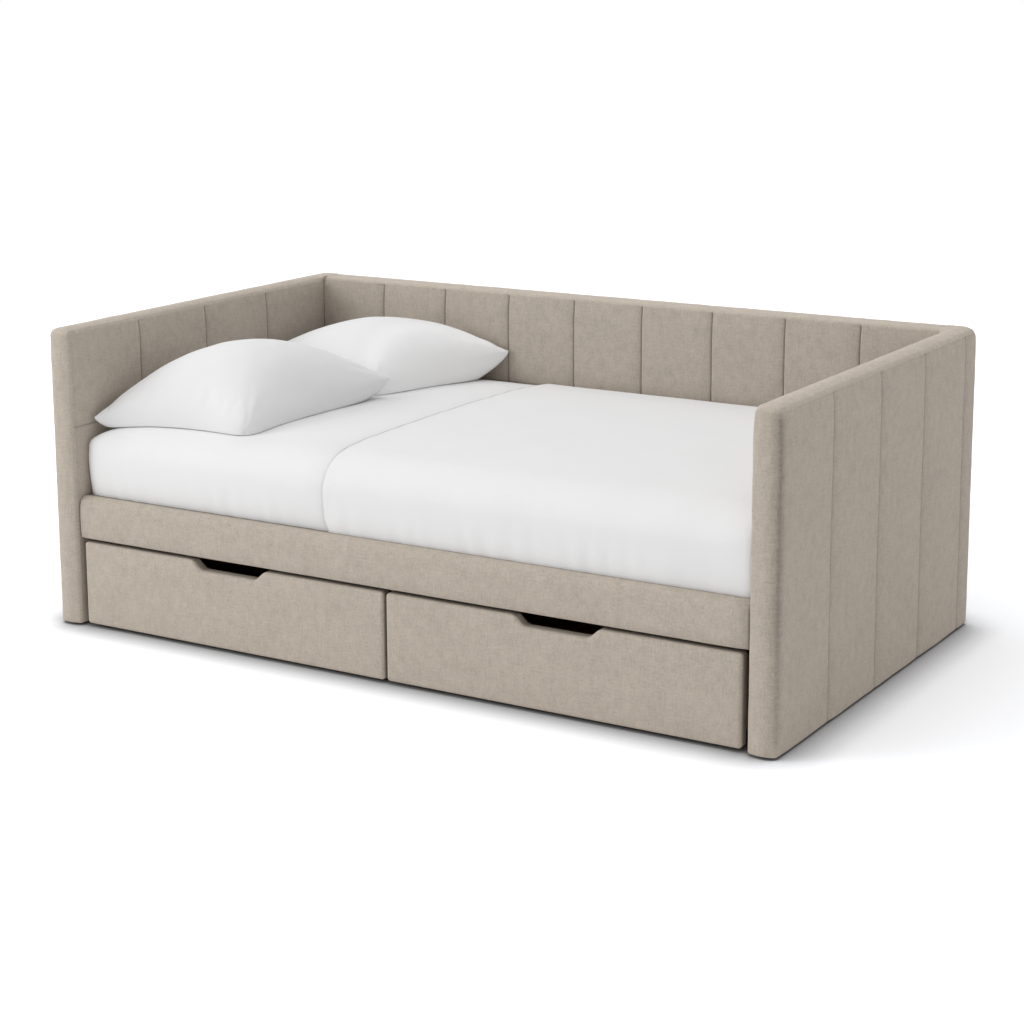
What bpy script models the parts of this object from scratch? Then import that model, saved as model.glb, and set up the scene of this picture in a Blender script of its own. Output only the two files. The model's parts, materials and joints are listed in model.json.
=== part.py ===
"""Upholstered storage daybed with two rolling drawers, a mattress, a bed cover and two pillows.

Metres, +Z up. The origin is on the floor under the middle of the daybed. +X runs along its
length, the open front faces -Y and the drawers pull out that way.
"""
import math

import bmesh
import bpy
from mathutils import Vector

# Overall size, and the gaps that keep neighbours apart
overall_length = 2.070
overall_depth = 1.196
overall_height = 0.785
touch_gap = 0.0003
overrun = 0.010

# Padded end panels, with the seams that divide their faces into channels
arm_thickness = 0.074
arm_board_thickness = 0.030
arm_edge_padding = 0.020
arm_channel_count = 4
panel_corner_radius = 0.025
panel_edge_radius = 0.010
seam_depth = 0.007
seam_end_drop = 0.018
seam_fade = 0.027
cross_seam_height = 0.531
cross_seam_reach = 0.016
seam_cut_shares = (-0.5, -0.16, 0.0, 0.16, 0.5, 1.0)

# Padded back between the end panels
back_thickness = 0.086
back_board_thickness = 0.036
back_channel_count = 9
back_floor_gap = 0.020

# Front rail
rail_top = 0.348
rail_height = 0.1095
rail_thickness = 0.044
rail_setback = 0.006
rail_board_thickness = 0.020
rail_edge_padding = 0.012
rail_edge_radius = 0.012

# Slatted base
ledger_width = 0.025
ledger_height = 0.040
ledger_end_inset = 0.045
beam_width = 0.040
slat_count = 9
slat_width = 0.070
slat_thickness = 0.018
slat_end_gap = 0.003
slat_bevel = 0.002
divider_thickness = 0.018
stop_rail_height = 0.070
stop_rail_thickness = 0.020
board_bevel = 0.0015

# Glides and corner brackets
glide_radius = 0.014
glide_height = 0.006
glide_inset = 0.070
glide_sides = 20
bracket_leg = 0.040
bracket_thickness = 0.003
bracket_height = 0.030
bolt_head_radius = 0.006
bolt_head_height = 0.004
bolt_sides = 6

# Drawers
drawer_front_thickness = 0.030
drawer_board_thickness = 0.015
drawer_edge_padding = 0.012
drawer_rail_gap = 0.006
drawer_floor_gap = 0.009
drawer_centre_gap = 0.008
drawer_arm_gap = 0.015
drawer_corner_radius = 0.008
drawer_edge_radius = 0.005
notch_top_width = 0.226
notch_bottom_width = 0.172
notch_depth = 0.025
box_side_inset = 0.010
box_length = 0.760
box_wall = 0.012
box_wall_top = 0.205
box_bottom_thickness = 0.009
wheel_radius = 0.0175
wheel_width = 0.016
wheel_bore_radius = 0.0046
wheel_edge_radius = 0.002
wheel_sides = 24
wheel_floor_gap = 0.0005
wheel_top_gap = 0.003
wheel_end_inset = 0.050
wheel_side_inset = 0.005
wheel_play = 0.0004
axle_radius = 0.004
axle_head_radius = 0.0065
axle_head_width = 0.002
axle_sides = 12
runner_width = 0.018
runner_floor_gap = 0.0095

# Mattress and the thin cover tucked round it
mattress_top = 0.547
mattress_end_gap = 0.002
mattress_front_crown = 0.012
mattress_rear_crown = 0.006
mattress_crown_power = 4
mattress_overhang = 0.014
mattress_bulge = 0.034
mattress_bulge_height = 0.440
mattress_bulge_reach = 0.125
mattress_front_reach = 0.120
mattress_front_drop = 0.085
mattress_rear_radius = 0.036
mattress_bottom_radius = 0.015
mattress_end_radius = 0.030
cover_thickness = 0.006
cover_hem_height = 0.300
cover_front_hem_x = -0.203
cover_back_hem_x = -0.158
arc_steps = 8
side_steps = 4
crown_steps = 8

# Loose pillows, one along the arm and one along the back
pillow_length_share = 0.562
pillow_width_share = 0.422
pillow_height = 0.180
pillow_edge_thickness = 0.012
pillow_waist_share = 0.07
pillow_top_power_share = 0.7
pillow_base_power_share = 0.6
pillow_base_sag_share = 1.6
pillow_front_arm_share = 0.263
pillow_front_hem_share = 0.272
pillow_front_turn = math.radians(93)
pillow_front_edge_height = 0.022
pillow_rear_arm_share = 0.355
pillow_rear_back_share = 0.220
pillow_rear_turn = math.radians(-2)
pillow_rear_edge_height = 0.072
pillow_cage_shares = (-0.8, -0.4, 0.0, 0.4, 0.8)
pillow_smooth_levels = 1

# Places worked out from the sizes above
half_length = overall_length / 2
half_depth = overall_depth / 2
arm_height = overall_height - glide_height
inner_half = half_length - arm_thickness
back_front = half_depth - back_thickness
back_length = 2 * (inner_half - touch_gap)
rail_front = -half_depth + rail_setback
rail_rear = rail_front + rail_thickness
rail_bottom = rail_top - rail_height
ledger_bottom = rail_bottom + touch_gap
ledger_top = ledger_bottom + ledger_height
slat_bottom = ledger_top + touch_gap
slat_top = slat_bottom + slat_thickness
front_rear = rail_front + drawer_front_thickness
front_top = rail_bottom - drawer_rail_gap
front_width = inner_half - drawer_arm_gap - drawer_centre_gap / 2
drawer_centre_x = drawer_centre_gap / 2 + front_width / 2
box_front = front_rear + touch_gap
box_rear = box_front + box_length
box_half_width = front_width / 2 - box_side_inset
axle_height = wheel_floor_gap + wheel_radius
box_bottom = axle_height + wheel_radius + wheel_top_gap
box_floor = box_bottom + box_bottom_thickness
wheel_offset = box_half_width - wheel_side_inset - wheel_width / 2
wheel_front_y = box_front + wheel_end_inset
wheel_rear_y = box_rear - wheel_end_inset
stop_rail_front = box_rear + touch_gap
mattress_front = rail_rear - mattress_overhang
mattress_rear = back_front - touch_gap - cover_thickness - touch_gap
mattress_bottom = slat_top + touch_gap
mattress_depth = mattress_rear - mattress_front
pillow_rest = mattress_top + touch_gap
pillow_length = pillow_length_share * mattress_depth
pillow_width = pillow_width_share * mattress_depth
pillow_front_centre = (
    pillow_front_arm_share * mattress_depth - inner_half,
    mattress_front + pillow_front_hem_share * mattress_depth)
pillow_rear_centre = (
    pillow_rear_arm_share * mattress_depth - inner_half,
    mattress_rear - pillow_rear_back_share * mattress_depth)


def clear_scene():
    for old in list(bpy.data.objects):
        bpy.data.objects.remove(old)


def new_collection(name):
    made = bpy.data.collections.new(name)
    bpy.context.scene.collection.children.link(made)
    return made


def new_material(name, colour, roughness, metallic=0.0):
    made = bpy.data.materials.new(name)
    made.use_nodes = True
    shader = made.node_tree.nodes["Principled BSDF"]
    shader.inputs["Base Color"].default_value = (*colour, 1.0)
    shader.inputs["Roughness"].default_value = roughness
    shader.inputs["Metallic"].default_value = metallic
    return made


clear_scene()
parts = new_collection("storage_daybed")
cutters = new_collection("cutters")
upholstery = new_material("upholstery", (0.45, 0.40, 0.35), 0.95)
bedding = new_material("bedding", (0.86, 0.86, 0.86), 0.90)
wood = new_material("wood", (0.58, 0.42, 0.26), 0.65)
black_plastic = new_material("black_plastic", (0.02, 0.02, 0.02), 0.50)
steel = new_material("steel", (0.45, 0.45, 0.46), 0.40, 1.0)


def new_empty(name, place):
    made = bpy.data.objects.new(name, None)
    parts.objects.link(made)
    made.location = place
    return made


def new_object(name, mesh, place, turn, finish, parent):
    """Put a mesh in the scene at a world place, under its parent empty if it has one."""
    made = bpy.data.objects.new(name, mesh)
    parts.objects.link(made)
    made.data.materials.append(finish)
    made.rotation_euler = turn
    if parent is None:
        made.location = place
    else:
        made.parent = parent
        made.location = Vector(place) - parent.location
    return made


def mesh_from(work, name):
    mesh = bpy.data.meshes.new(name)
    bmesh.ops.recalc_face_normals(work, faces=work.faces)
    work.to_mesh(mesh)
    work.free()
    return mesh


def cube_work(size):
    """A box of the given size round the origin, ready for editing."""
    work = bmesh.new()
    bmesh.ops.create_cube(work, size=1)
    bmesh.ops.scale(work, vec=size, verts=work.verts)
    return work


def box(name, low, high, finish, parent=None, bevel=0):
    """A plain board or block between two corners."""
    low, high = Vector(low), Vector(high)
    made = new_object(name, mesh_from(cube_work(high - low), name), (low + high) / 2, (0, 0, 0), finish, parent)
    if bevel:
        round_edges(made, bevel, 1)
    return made


def round_edges(made, width, segments):
    rounding = made.modifiers.new("round_edges", "BEVEL")
    rounding.width = width
    rounding.segments = segments
    rounding.limit_method = "ANGLE"
    rounding.angle_limit = math.radians(55)


def hide_cutter(made):
    parts.objects.unlink(made)
    cutters.objects.link(made)
    made.hide_render = True
    made.display_type = "WIRE"


def join_or_cut(made, other, operation):
    step = made.modifiers.new(other.name, "BOOLEAN")
    step.operation = operation
    step.object = other
    hide_cutter(other)


def smooth(made, angle):
    made.data.shade_smooth()
    made.data.set_sharp_from_angle(angle=math.radians(angle))


def cylinder(name, radius, height, sides, place, along, finish, parent=None):
    """A capped cylinder centred on its place, along X or Z."""
    work = bmesh.new()
    bmesh.ops.create_cone(
        work, cap_ends=True, segments=sides, radius1=radius, radius2=radius, depth=height)
    turn = (0, math.pi / 2, 0) if along == "X" else (0, 0, 0)
    made = new_object(name, mesh_from(work, name), place, turn, finish, parent)
    smooth(made, 40)
    return made


def outline_solid(name, points, thickness, place, turn, finish, parent=None):
    """A flat outline in local XY given thickness along local Z."""
    flat = bpy.data.curves.new(name, "CURVE")
    flat.dimensions = "2D"
    flat.fill_mode = "BOTH"
    flat.extrude = thickness / 2
    spline = flat.splines.new("POLY")
    spline.points.add(len(points) - 1)
    for point, (across, up) in zip(spline.points, points):
        point.co = (across, up, 0, 1)
    spline.use_cyclic_u = True
    shape = bpy.data.objects.new(name + "_outline", flat)
    bpy.context.scene.collection.objects.link(shape)
    seen = shape.evaluated_get(bpy.context.evaluated_depsgraph_get())
    mesh = bpy.data.meshes.new_from_object(seen)
    bpy.data.objects.remove(shape)
    work = bmesh.new()
    work.from_mesh(mesh)
    bmesh.ops.remove_doubles(work, verts=work.verts, dist=touch_gap / 10)
    bmesh.ops.dissolve_limit(work, angle_limit=math.radians(0.1), verts=work.verts, edges=work.edges)
    return new_object(name, mesh_from(work, name), place, turn, finish, parent)


def arc(centre, across, up, start, end, steps):
    """Points on a round or oval arc with these half axes, angles in degrees."""
    points = []
    for step in range(steps + 1):
        angle = math.radians(start + (end - start) * step / steps)
        points.append((centre[0] + across * math.cos(angle), centre[1] + up * math.sin(angle)))
    return points


def seam_places(first, pitch, count):
    return [first + pitch * number for number in range(count)]


def seam_dip(place, seams, pitch):
    """How far a channelled face lies behind its crown: deep on a seam, zero mid-channel."""
    nearest = min(abs(place - seam) for seam in seams)
    across = min(nearest / (pitch / 2), 1)
    return seam_depth * (1 - math.sqrt(1 - (1 - across) ** 2))


def panel_dip(along, height, top, seams, pitch, cross_seam):
    """Dip of a padded face: channels that fade out under the top edge, over a plain lower panel."""
    fade = min(max((top - seam_end_drop - height) / seam_fade, 0), 1)
    dip = seam_dip(along, seams, pitch) * fade
    if cross_seam:
        reach = abs(height - cross_seam) / cross_seam_reach
        crease = seam_depth * max(1 - reach, 0)
        dip = crease if height < cross_seam else max(dip, crease)
    return dip


def padded_panel(name, run, thickness, height, seams, pitch, cross_seams, place, turn, board):
    """A padded cover over a board: local X along the run, Y through it, Z up from its bottom.

    cross_seams gives the height of the cross seam on the -Y and the +Y face, or zero for none.
    board is the inner board's size, which the cover's pocket fits from below.
    """
    work = cube_work((run, thickness, height))
    bmesh.ops.translate(work, verts=work.verts, vec=(0, 0, height / 2))
    tops = [
        edge for edge in work.edges
        if all(vert.co.z > height / 2 for vert in edge.verts)
        and edge.verts[0].co.x * edge.verts[1].co.x > 0
        and abs(edge.verts[0].co.x - edge.verts[1].co.x) < touch_gap]
    bmesh.ops.bevel(
        work, geom=tops, offset=panel_corner_radius, segments=4, profile=0.5, affect="EDGES")
    columns = [seam + share * pitch / 2 for seam in seams for share in seam_cut_shares]
    rows = [height - seam_end_drop, height - seam_end_drop - seam_fade]
    for cross_seam in set(cross_seams) - {0}:
        rows += [cross_seam - cross_seam_reach, cross_seam, cross_seam + cross_seam_reach]
    cuts = [((along, 0, 0), (1, 0, 0)) for along in columns if abs(along) < run / 2 - touch_gap]
    cuts += [((0, 0, up), (0, 0, 1)) for up in rows]
    for point, normal in cuts:
        geometry = list(work.verts) + list(work.edges) + list(work.faces)
        bmesh.ops.bisect_plane(work, geom=geometry, plane_co=point, plane_no=normal)
    for vert in work.verts:
        side = 1 if vert.co.y > 0 else -1
        cross_seam = cross_seams[1] if side > 0 else cross_seams[0]
        vert.co.y -= side * panel_dip(vert.co.x, vert.co.z, height, seams, pitch, cross_seam)
    made = new_object(name, mesh_from(work, name), place, turn, upholstery, None)
    round_edges(made, panel_edge_radius, 2)
    smooth(made, 35)
    pocket = cube_work((board[0] + 2 * touch_gap, board[1] + 2 * touch_gap, board[2] + touch_gap + overrun))
    bmesh.ops.translate(pocket, verts=pocket.verts, vec=(0, 0, (board[2] + touch_gap - overrun) / 2))
    cutter = new_object(name + "_pocket", mesh_from(pocket, name), place, turn, upholstery, None)
    join_or_cut(made, cutter, "DIFFERENCE")
    return made


def build_arms():
    """Two padded end panels, mirror images, each over its board."""
    pitch = (overall_depth - back_thickness) / arm_channel_count
    seams = seam_places(-half_depth + pitch, pitch, arm_channel_count)
    cross = cross_seam_height - glide_height
    board_run = overall_depth - 2 * arm_edge_padding
    board_height = arm_height - arm_edge_padding
    for side, name in ((-1, "left"), (1, "right")):
        centre_x = side * (half_length - arm_thickness / 2)
        cross_seams = (cross, 0) if side < 0 else (0, cross)
        padded_panel(
            name + "_arm_cover", overall_depth, arm_thickness, arm_height, seams, pitch, cross_seams,
            (centre_x, 0, glide_height), (0, 0, math.pi / 2),
            (board_run, arm_board_thickness, board_height))
        box(name + "_arm_board",
            (centre_x - arm_board_thickness / 2, -board_run / 2, glide_height),
            (centre_x + arm_board_thickness / 2, board_run / 2, glide_height + board_height), wood)


def build_back():
    """The padded back between the end panels, over its board."""
    height = overall_height - back_floor_gap
    pitch = 2 * inner_half / back_channel_count
    seams = seam_places(-inner_half + pitch, pitch, back_channel_count - 1)
    centre_y = half_depth - back_thickness / 2
    cross = cross_seam_height - back_floor_gap
    board_length = back_length - 2 * arm_edge_padding
    board_height = height - arm_edge_padding
    padded_panel(
        "back_cover", back_length, back_thickness, height, seams, pitch, (cross, 0),
        (0, centre_y, back_floor_gap), (0, 0, 0), (board_length, back_board_thickness, board_height))
    box("back_board",
        (-board_length / 2, centre_y - back_board_thickness / 2, back_floor_gap),
        (board_length / 2, centre_y + back_board_thickness / 2, back_floor_gap + board_height), wood)


def build_rail():
    """The padded front rail; its cover wraps the board's front, top, bottom and ends."""
    half = inner_half - touch_gap
    cover = box(
        "rail_cover", (-half, rail_front, rail_bottom), (half, rail_rear, rail_top), upholstery)
    round_edges(cover, rail_edge_radius, 3)
    smooth(cover, 35)
    board_low = (-half + rail_edge_padding, rail_rear - rail_board_thickness, rail_bottom + rail_edge_padding)
    board_high = (half - rail_edge_padding, rail_rear, rail_top - rail_edge_padding)
    box("rail_board", board_low, board_high, wood)
    pocket = box(
        "rail_pocket", [value - touch_gap for value in board_low],
        (board_high[0] + touch_gap, rail_rear + overrun, board_high[2] + touch_gap), upholstery)
    join_or_cut(cover, pocket, "DIFFERENCE")


def build_base():
    """Ledgers, centre beam and divider, and the slats that lie across them."""
    half = inner_half - ledger_end_inset
    front_ledger_y = rail_rear + touch_gap
    back_ledger_y = back_front - touch_gap - ledger_width
    box("front_ledger", (-half, front_ledger_y, ledger_bottom), (half, front_ledger_y + ledger_width, ledger_top),
        wood, bevel=board_bevel)
    box("back_ledger", (-half, back_ledger_y, ledger_bottom), (half, back_ledger_y + ledger_width, ledger_top),
        wood, bevel=board_bevel)
    beam_half = inner_half - touch_gap
    box("centre_beam", (-beam_half, -beam_width / 2, ledger_bottom), (beam_half, beam_width / 2, ledger_top),
        wood, bevel=board_bevel)
    divider_top = ledger_bottom - touch_gap
    box("centre_divider", (-divider_thickness / 2, rail_rear, glide_height),
        (divider_thickness / 2, stop_rail_front - touch_gap, divider_top), wood, bevel=board_bevel)
    box("rear_stop_rail", (-beam_half, stop_rail_front, glide_height),
        (beam_half, stop_rail_front + stop_rail_thickness, glide_height + stop_rail_height),
        wood, bevel=board_bevel)
    first = -half + slat_width / 2
    pitch = -2 * first / (slat_count - 1)
    for number in range(slat_count):
        centre_x = first + pitch * number
        box(f"slat_{number + 1:02d}",
            (centre_x - slat_width / 2, rail_rear + slat_end_gap, slat_bottom),
            (centre_x + slat_width / 2, back_front - slat_end_gap, slat_top), wood, bevel=slat_bevel)


def build_glides():
    """Black glides under the end panels and the divider: what the daybed stands on."""
    height = glide_height - touch_gap
    arm_x = half_length - arm_thickness / 2
    end_y = half_depth - glide_inset
    places = {
        "left_front_glide": (-arm_x, -end_y), "left_rear_glide": (-arm_x, end_y),
        "right_front_glide": (arm_x, -end_y), "right_rear_glide": (arm_x, end_y),
        "divider_front_glide": (0, rail_rear + glide_inset),
        "divider_rear_glide": (0, stop_rail_front - glide_inset)}
    for name, (x, y) in places.items():
        cylinder(name, glide_radius, height, glide_sides, (x, y, height / 2), "Z", black_plastic)


def build_brackets():
    """Steel angles with their bolt heads, in the corners under the slats."""
    leg, wall = bracket_leg, bracket_thickness
    outline = [(0, 0), (leg, 0), (leg, wall), (wall, wall), (wall, leg), (0, leg)]
    low = ledger_bottom + (ledger_height - bracket_height) / 2
    corners = {
        "left_front_bracket": (-1, -1), "right_front_bracket": (1, -1),
        "left_rear_bracket": (-1, 1), "right_rear_bracket": (1, 1)}
    for name, (side_x, side_y) in corners.items():
        corner_x = side_x * (inner_half - touch_gap)
        corner_y = rail_rear + touch_gap if side_y < 0 else back_front - touch_gap
        points = [(-side_x * across, -side_y * along) for across, along in outline]
        centre_z = low + bracket_height / 2
        made = outline_solid(name, points, bracket_height, (corner_x, corner_y, centre_z), (0, 0, 0), steel)
        reach = (leg + wall) / 2
        sunk = bolt_head_height / 4
        heads = {
            "arm_bolt": ((wall - sunk + bolt_head_height / 2, reach), (0, math.pi / 2, 0)),
            "rail_bolt": ((reach, wall - sunk + bolt_head_height / 2), (math.pi / 2, 0, 0))}
        for head_name, ((across, along), turn) in heads.items():
            head = cylinder(name + "_" + head_name, bolt_head_radius, bolt_head_height, bolt_sides,
                            (corner_x - side_x * across, corner_y - side_y * along, centre_z), "Z", steel)
            head.rotation_euler = turn
            join_or_cut(made, head, "UNION")


def side_inset(height):
    """How far the mattress's bulging side lies inside its widest line at a height."""
    return mattress_bulge * ((height - mattress_bulge_height) / mattress_bulge_reach) ** 2


def crown_drop(share):
    """How far the mattress's top lies below its crown, at a share of the way from the middle."""
    crown = mattress_front_crown if share < 0 else mattress_rear_crown
    return crown * abs(share) ** mattress_crown_power


def mattress_side(crown, reach, drop, grow):
    """One side of the mattress as (inset, z) points, from low up to the end of its shoulder.

    reach and drop are the shoulder's half axes, and grow moves the outline outwards.
    """
    low, high = mattress_bottom + mattress_bottom_radius, mattress_top - crown - drop
    side = []
    for step in range(side_steps):
        height = low + (high - low) * step / side_steps
        side.append((side_inset(height) - grow, height))
    return side + arc((side_inset(high) + reach, high), reach + grow, drop + grow, 180, 90, arc_steps)


def mattress_profile(grow):
    """The mattress's side view as (y, z) points, from low on the front over the top to the rear.

    grow moves the outline outwards by that much.
    """
    front_side = mattress_side(mattress_front_crown, mattress_front_reach, mattress_front_drop, grow)
    rear_side = mattress_side(mattress_rear_crown, mattress_rear_radius, mattress_rear_radius, grow)
    front = [(mattress_front + inset, height) for inset, height in front_side]
    rear = [(mattress_rear - inset, height) for inset, height in reversed(rear_side)]
    middle, half_span = (front[-1][0] + rear[0][0]) / 2, (rear[0][0] - front[-1][0]) / 2
    crown = []
    for step in range(1, crown_steps):
        share = 2 * step / crown_steps - 1
        crown.append((middle + half_span * share, mattress_top - crown_drop(share) + grow))
    return front + crown + rear


def build_mattress():
    """The mattress: a crowned, waisted side view drawn along the bed, with round ends."""
    length = 2 * (inner_half - mattress_end_gap)
    radius = mattress_bottom_radius
    inset = side_inset(mattress_bottom + radius) + radius
    bottom = arc((mattress_rear - inset, mattress_bottom + radius), radius, radius, 0, -90, 3)[1:]
    bottom += arc((mattress_front + inset, mattress_bottom + radius), radius, radius, 270, 180, 3)[:-1]
    made = outline_solid(
        "mattress", mattress_profile(0) + bottom, length, (0, 0, 0), (math.pi / 2, 0, math.pi / 2), bedding)
    round_edges(made, mattress_end_radius, 3)
    smooth(made, 40)


def build_bed_cover():
    """A thin cover over the mattress's right part, tucked down behind the rail and the back."""
    inner = [point for point in mattress_profile(touch_gap) if point[1] > cover_hem_height]
    outer = [point for point in mattress_profile(touch_gap + cover_thickness) if point[1] > cover_hem_height]
    hem_front, hem_rear = inner[0][0], inner[-1][0]
    inner = [(hem_front, cover_hem_height)] + inner + [(hem_rear, cover_hem_height)]
    outer = [(hem_front - cover_thickness, cover_hem_height)] + outer + [(hem_rear + cover_thickness, cover_hem_height)]
    right = inner_half - mattress_end_gap
    length = right - cover_front_hem_x
    made = outline_solid(
        "bed_cover", outer + inner[::-1], length, ((right + cover_front_hem_x) / 2, 0, 0),
        (math.pi / 2, 0, math.pi / 2), bedding)
    slant = (cover_back_hem_x - cover_front_hem_x) / (mattress_rear - mattress_front)
    for vert in made.data.vertices:
        if vert.co.z < 0:
            vert.co.z += slant * (vert.co.x - mattress_front)
    smooth(made, 40)


def build_pillow(name, centre, turn, edge_height):
    """A pillow from a coarse cage: crowned top, flat underside, drawn-in sides and pointed corners."""
    work = cube_work((2, 2, 2))
    for share in pillow_cage_shares:
        for normal in ((1, 0, 0), (0, 1, 0)):
            geometry = list(work.verts) + list(work.edges) + list(work.faces)
            bmesh.ops.bisect_plane(work, geom=geometry, plane_co=Vector(normal) * share, plane_no=normal)
    for vert in work.verts:
        a, b, top = vert.co.x, vert.co.y, vert.co.z > 0
        full = math.sqrt((1 - a * a) * (1 - b * b))
        rim = max(abs(a), abs(b)) > 1 - touch_gap
        if rim:
            height = edge_height + (pillow_edge_thickness / 2 if top else -pillow_edge_thickness / 2)
        elif top:
            height = edge_height + (pillow_height - edge_height) * full ** pillow_top_power_share
        else:
            height = max(edge_height * (1 - pillow_base_sag_share * full ** pillow_base_power_share), 0)
        draw_x = 1 - pillow_waist_share * (1 - b * b)
        draw_y = 1 - pillow_waist_share * (1 - a * a)
        vert.co = (a * draw_x * pillow_length / 2, b * draw_y * pillow_width / 2, height)
    made = new_object(name, mesh_from(work, name), (*centre, pillow_rest), (0, 0, turn), bedding, None)
    smoothing = made.modifiers.new("smooth", "SUBSURF")
    smoothing.levels = pillow_smooth_levels
    smoothing.render_levels = pillow_smooth_levels
    made.data.shade_smooth()


def front_outline(margin):
    """A drawer front's outline with its finger notch, as (x, z) from the drawer's centre.

    margin draws the outline in from every edge, the notch included.
    """
    half = front_width / 2 - margin
    low, high = drawer_floor_gap + margin, front_top - margin
    notch_top, notch_low = notch_top_width / 2 + margin, notch_bottom_width / 2 + margin
    floor = front_top - notch_depth - margin
    return [(-half, low), (half, low), (half, high), (notch_top, high), (notch_low, floor),
            (-notch_low, floor), (-notch_top, high), (-half, high)]


def build_drawer_front(name, centre_x, parent):
    """A padded drawer front: the board behind, the cover wrapped over its edges."""
    turn = (math.pi / 2, 0, 0)
    board_y = front_rear - drawer_board_thickness / 2
    outline_solid(
        name + "_front_board", front_outline(drawer_edge_padding), drawer_board_thickness,
        (centre_x, board_y, 0), turn, wood, parent)
    cover = outline_solid(
        name + "_front_cover", front_outline(0), drawer_front_thickness,
        (centre_x, rail_front + drawer_front_thickness / 2, 0), turn, upholstery, parent)
    work = bmesh.new()
    work.from_mesh(cover.data)
    corners = [
        edge for edge in work.edges
        if abs(edge.verts[0].co.z - edge.verts[1].co.z) > drawer_front_thickness / 2]
    bmesh.ops.bevel(
        work, geom=corners, offset=drawer_corner_radius, segments=3, profile=0.5, affect="EDGES")
    work.to_mesh(cover.data)
    work.free()
    round_edges(cover, drawer_edge_radius, 2)
    smooth(cover, 35)
    pocket_depth = drawer_board_thickness + touch_gap + overrun
    pocket = outline_solid(
        name + "_front_pocket", front_outline(drawer_edge_padding - touch_gap), pocket_depth,
        (centre_x, front_rear - drawer_board_thickness - touch_gap + pocket_depth / 2, 0), turn, upholstery)
    join_or_cut(cover, pocket, "DIFFERENCE")


def build_wheel(name, place, parent):
    """A drawer wheel, with its origin on its axle and a bore that clears the axle."""
    made = cylinder(name, wheel_radius, wheel_width, wheel_sides, place, "X", black_plastic, parent)
    round_edges(made, wheel_edge_radius, 1)
    bore = cylinder(name + "_bore", wheel_bore_radius, wheel_width + overrun, axle_sides, place, "X", black_plastic)
    join_or_cut(made, bore, "DIFFERENCE")


def build_runner(name, side, wheel_x, parent):
    """A strip under the drawer's floor with two axle pins whose heads hold the wheels on."""
    inner_face = wheel_x - side * (wheel_width / 2 + wheel_play)
    near, far = sorted((inner_face, inner_face - side * runner_width))
    strip = box(
        name, (near, box_front, runner_floor_gap), (far, box_rear, box_bottom - touch_gap),
        black_plastic, parent)
    pin_length = runner_width / 2 + wheel_width + 2 * wheel_play + axle_head_width / 2
    pin_x = inner_face - side * (runner_width / 2 - pin_length / 2)
    head_x = wheel_x + side * (wheel_width / 2 + wheel_play + axle_head_width / 2)
    for number, y in ((1, wheel_front_y), (2, wheel_rear_y)):
        pin = cylinder(f"{name}_pin_{number}", axle_radius, pin_length, axle_sides,
                       (pin_x, y, axle_height), "X", steel)
        join_or_cut(strip, pin, "UNION")
        head = cylinder(f"{name}_head_{number}", axle_head_radius, axle_head_width, axle_sides,
                        (head_x, y, axle_height), "X", steel)
        join_or_cut(strip, head, "UNION")


def build_drawer(name, centre_x):
    """One drawer: padded front, plain box, runners and wheels, under an empty on its slide."""
    slide = new_empty(name, (centre_x, rail_front, 0))
    build_drawer_front(name, centre_x, slide)
    left, right = centre_x - box_half_width, centre_x + box_half_width
    box(name + "_bottom", (left, box_front, box_bottom), (right, box_rear, box_floor), wood, slide)
    wall_low = box_floor + touch_gap
    box(name + "_left_side", (left, box_front, wall_low), (left + box_wall, box_rear, box_wall_top), wood, slide)
    box(name + "_right_side", (right - box_wall, box_front, wall_low), (right, box_rear, box_wall_top), wood, slide)
    rear_low = (left + box_wall + touch_gap, box_rear - box_wall, wall_low)
    box(name + "_rear", rear_low, (right - box_wall - touch_gap, box_rear, box_wall_top), wood, slide)
    for side, side_name in ((-1, "left"), (1, "right")):
        wheel_x = centre_x + side * wheel_offset
        build_runner(f"{name}_{side_name}_runner", side, wheel_x, slide)
        for end_name, y in (("front", wheel_front_y), ("rear", wheel_rear_y)):
            build_wheel(f"{name}_{side_name}_{end_name}_wheel", (wheel_x, y, axle_height), slide)


def main():
    build_arms()
    build_back()
    build_rail()
    build_base()
    build_glides()
    build_brackets()
    build_mattress()
    build_bed_cover()
    build_pillow("pillow_front", pillow_front_centre, pillow_front_turn, pillow_front_edge_height)
    build_pillow("pillow_rear", pillow_rear_centre, pillow_rear_turn, pillow_rear_edge_height)
    build_drawer("left_drawer", -drawer_centre_x)
    build_drawer("right_drawer", drawer_centre_x)


main()
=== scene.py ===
"""Looks for the upholstered storage daybed: padded panels, bedding, timber, wheels and a plain studio.

Everything is in metres in the part's own frame: +X along the bed, the open front faces -Y, +Z up.
"""
import json
import math
from typing import NamedTuple

import bmesh
import bpy
import numpy as np
from bpy.props import FloatProperty, FloatVectorProperty, PointerProperty
from mathutils import Matrix, Vector


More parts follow.
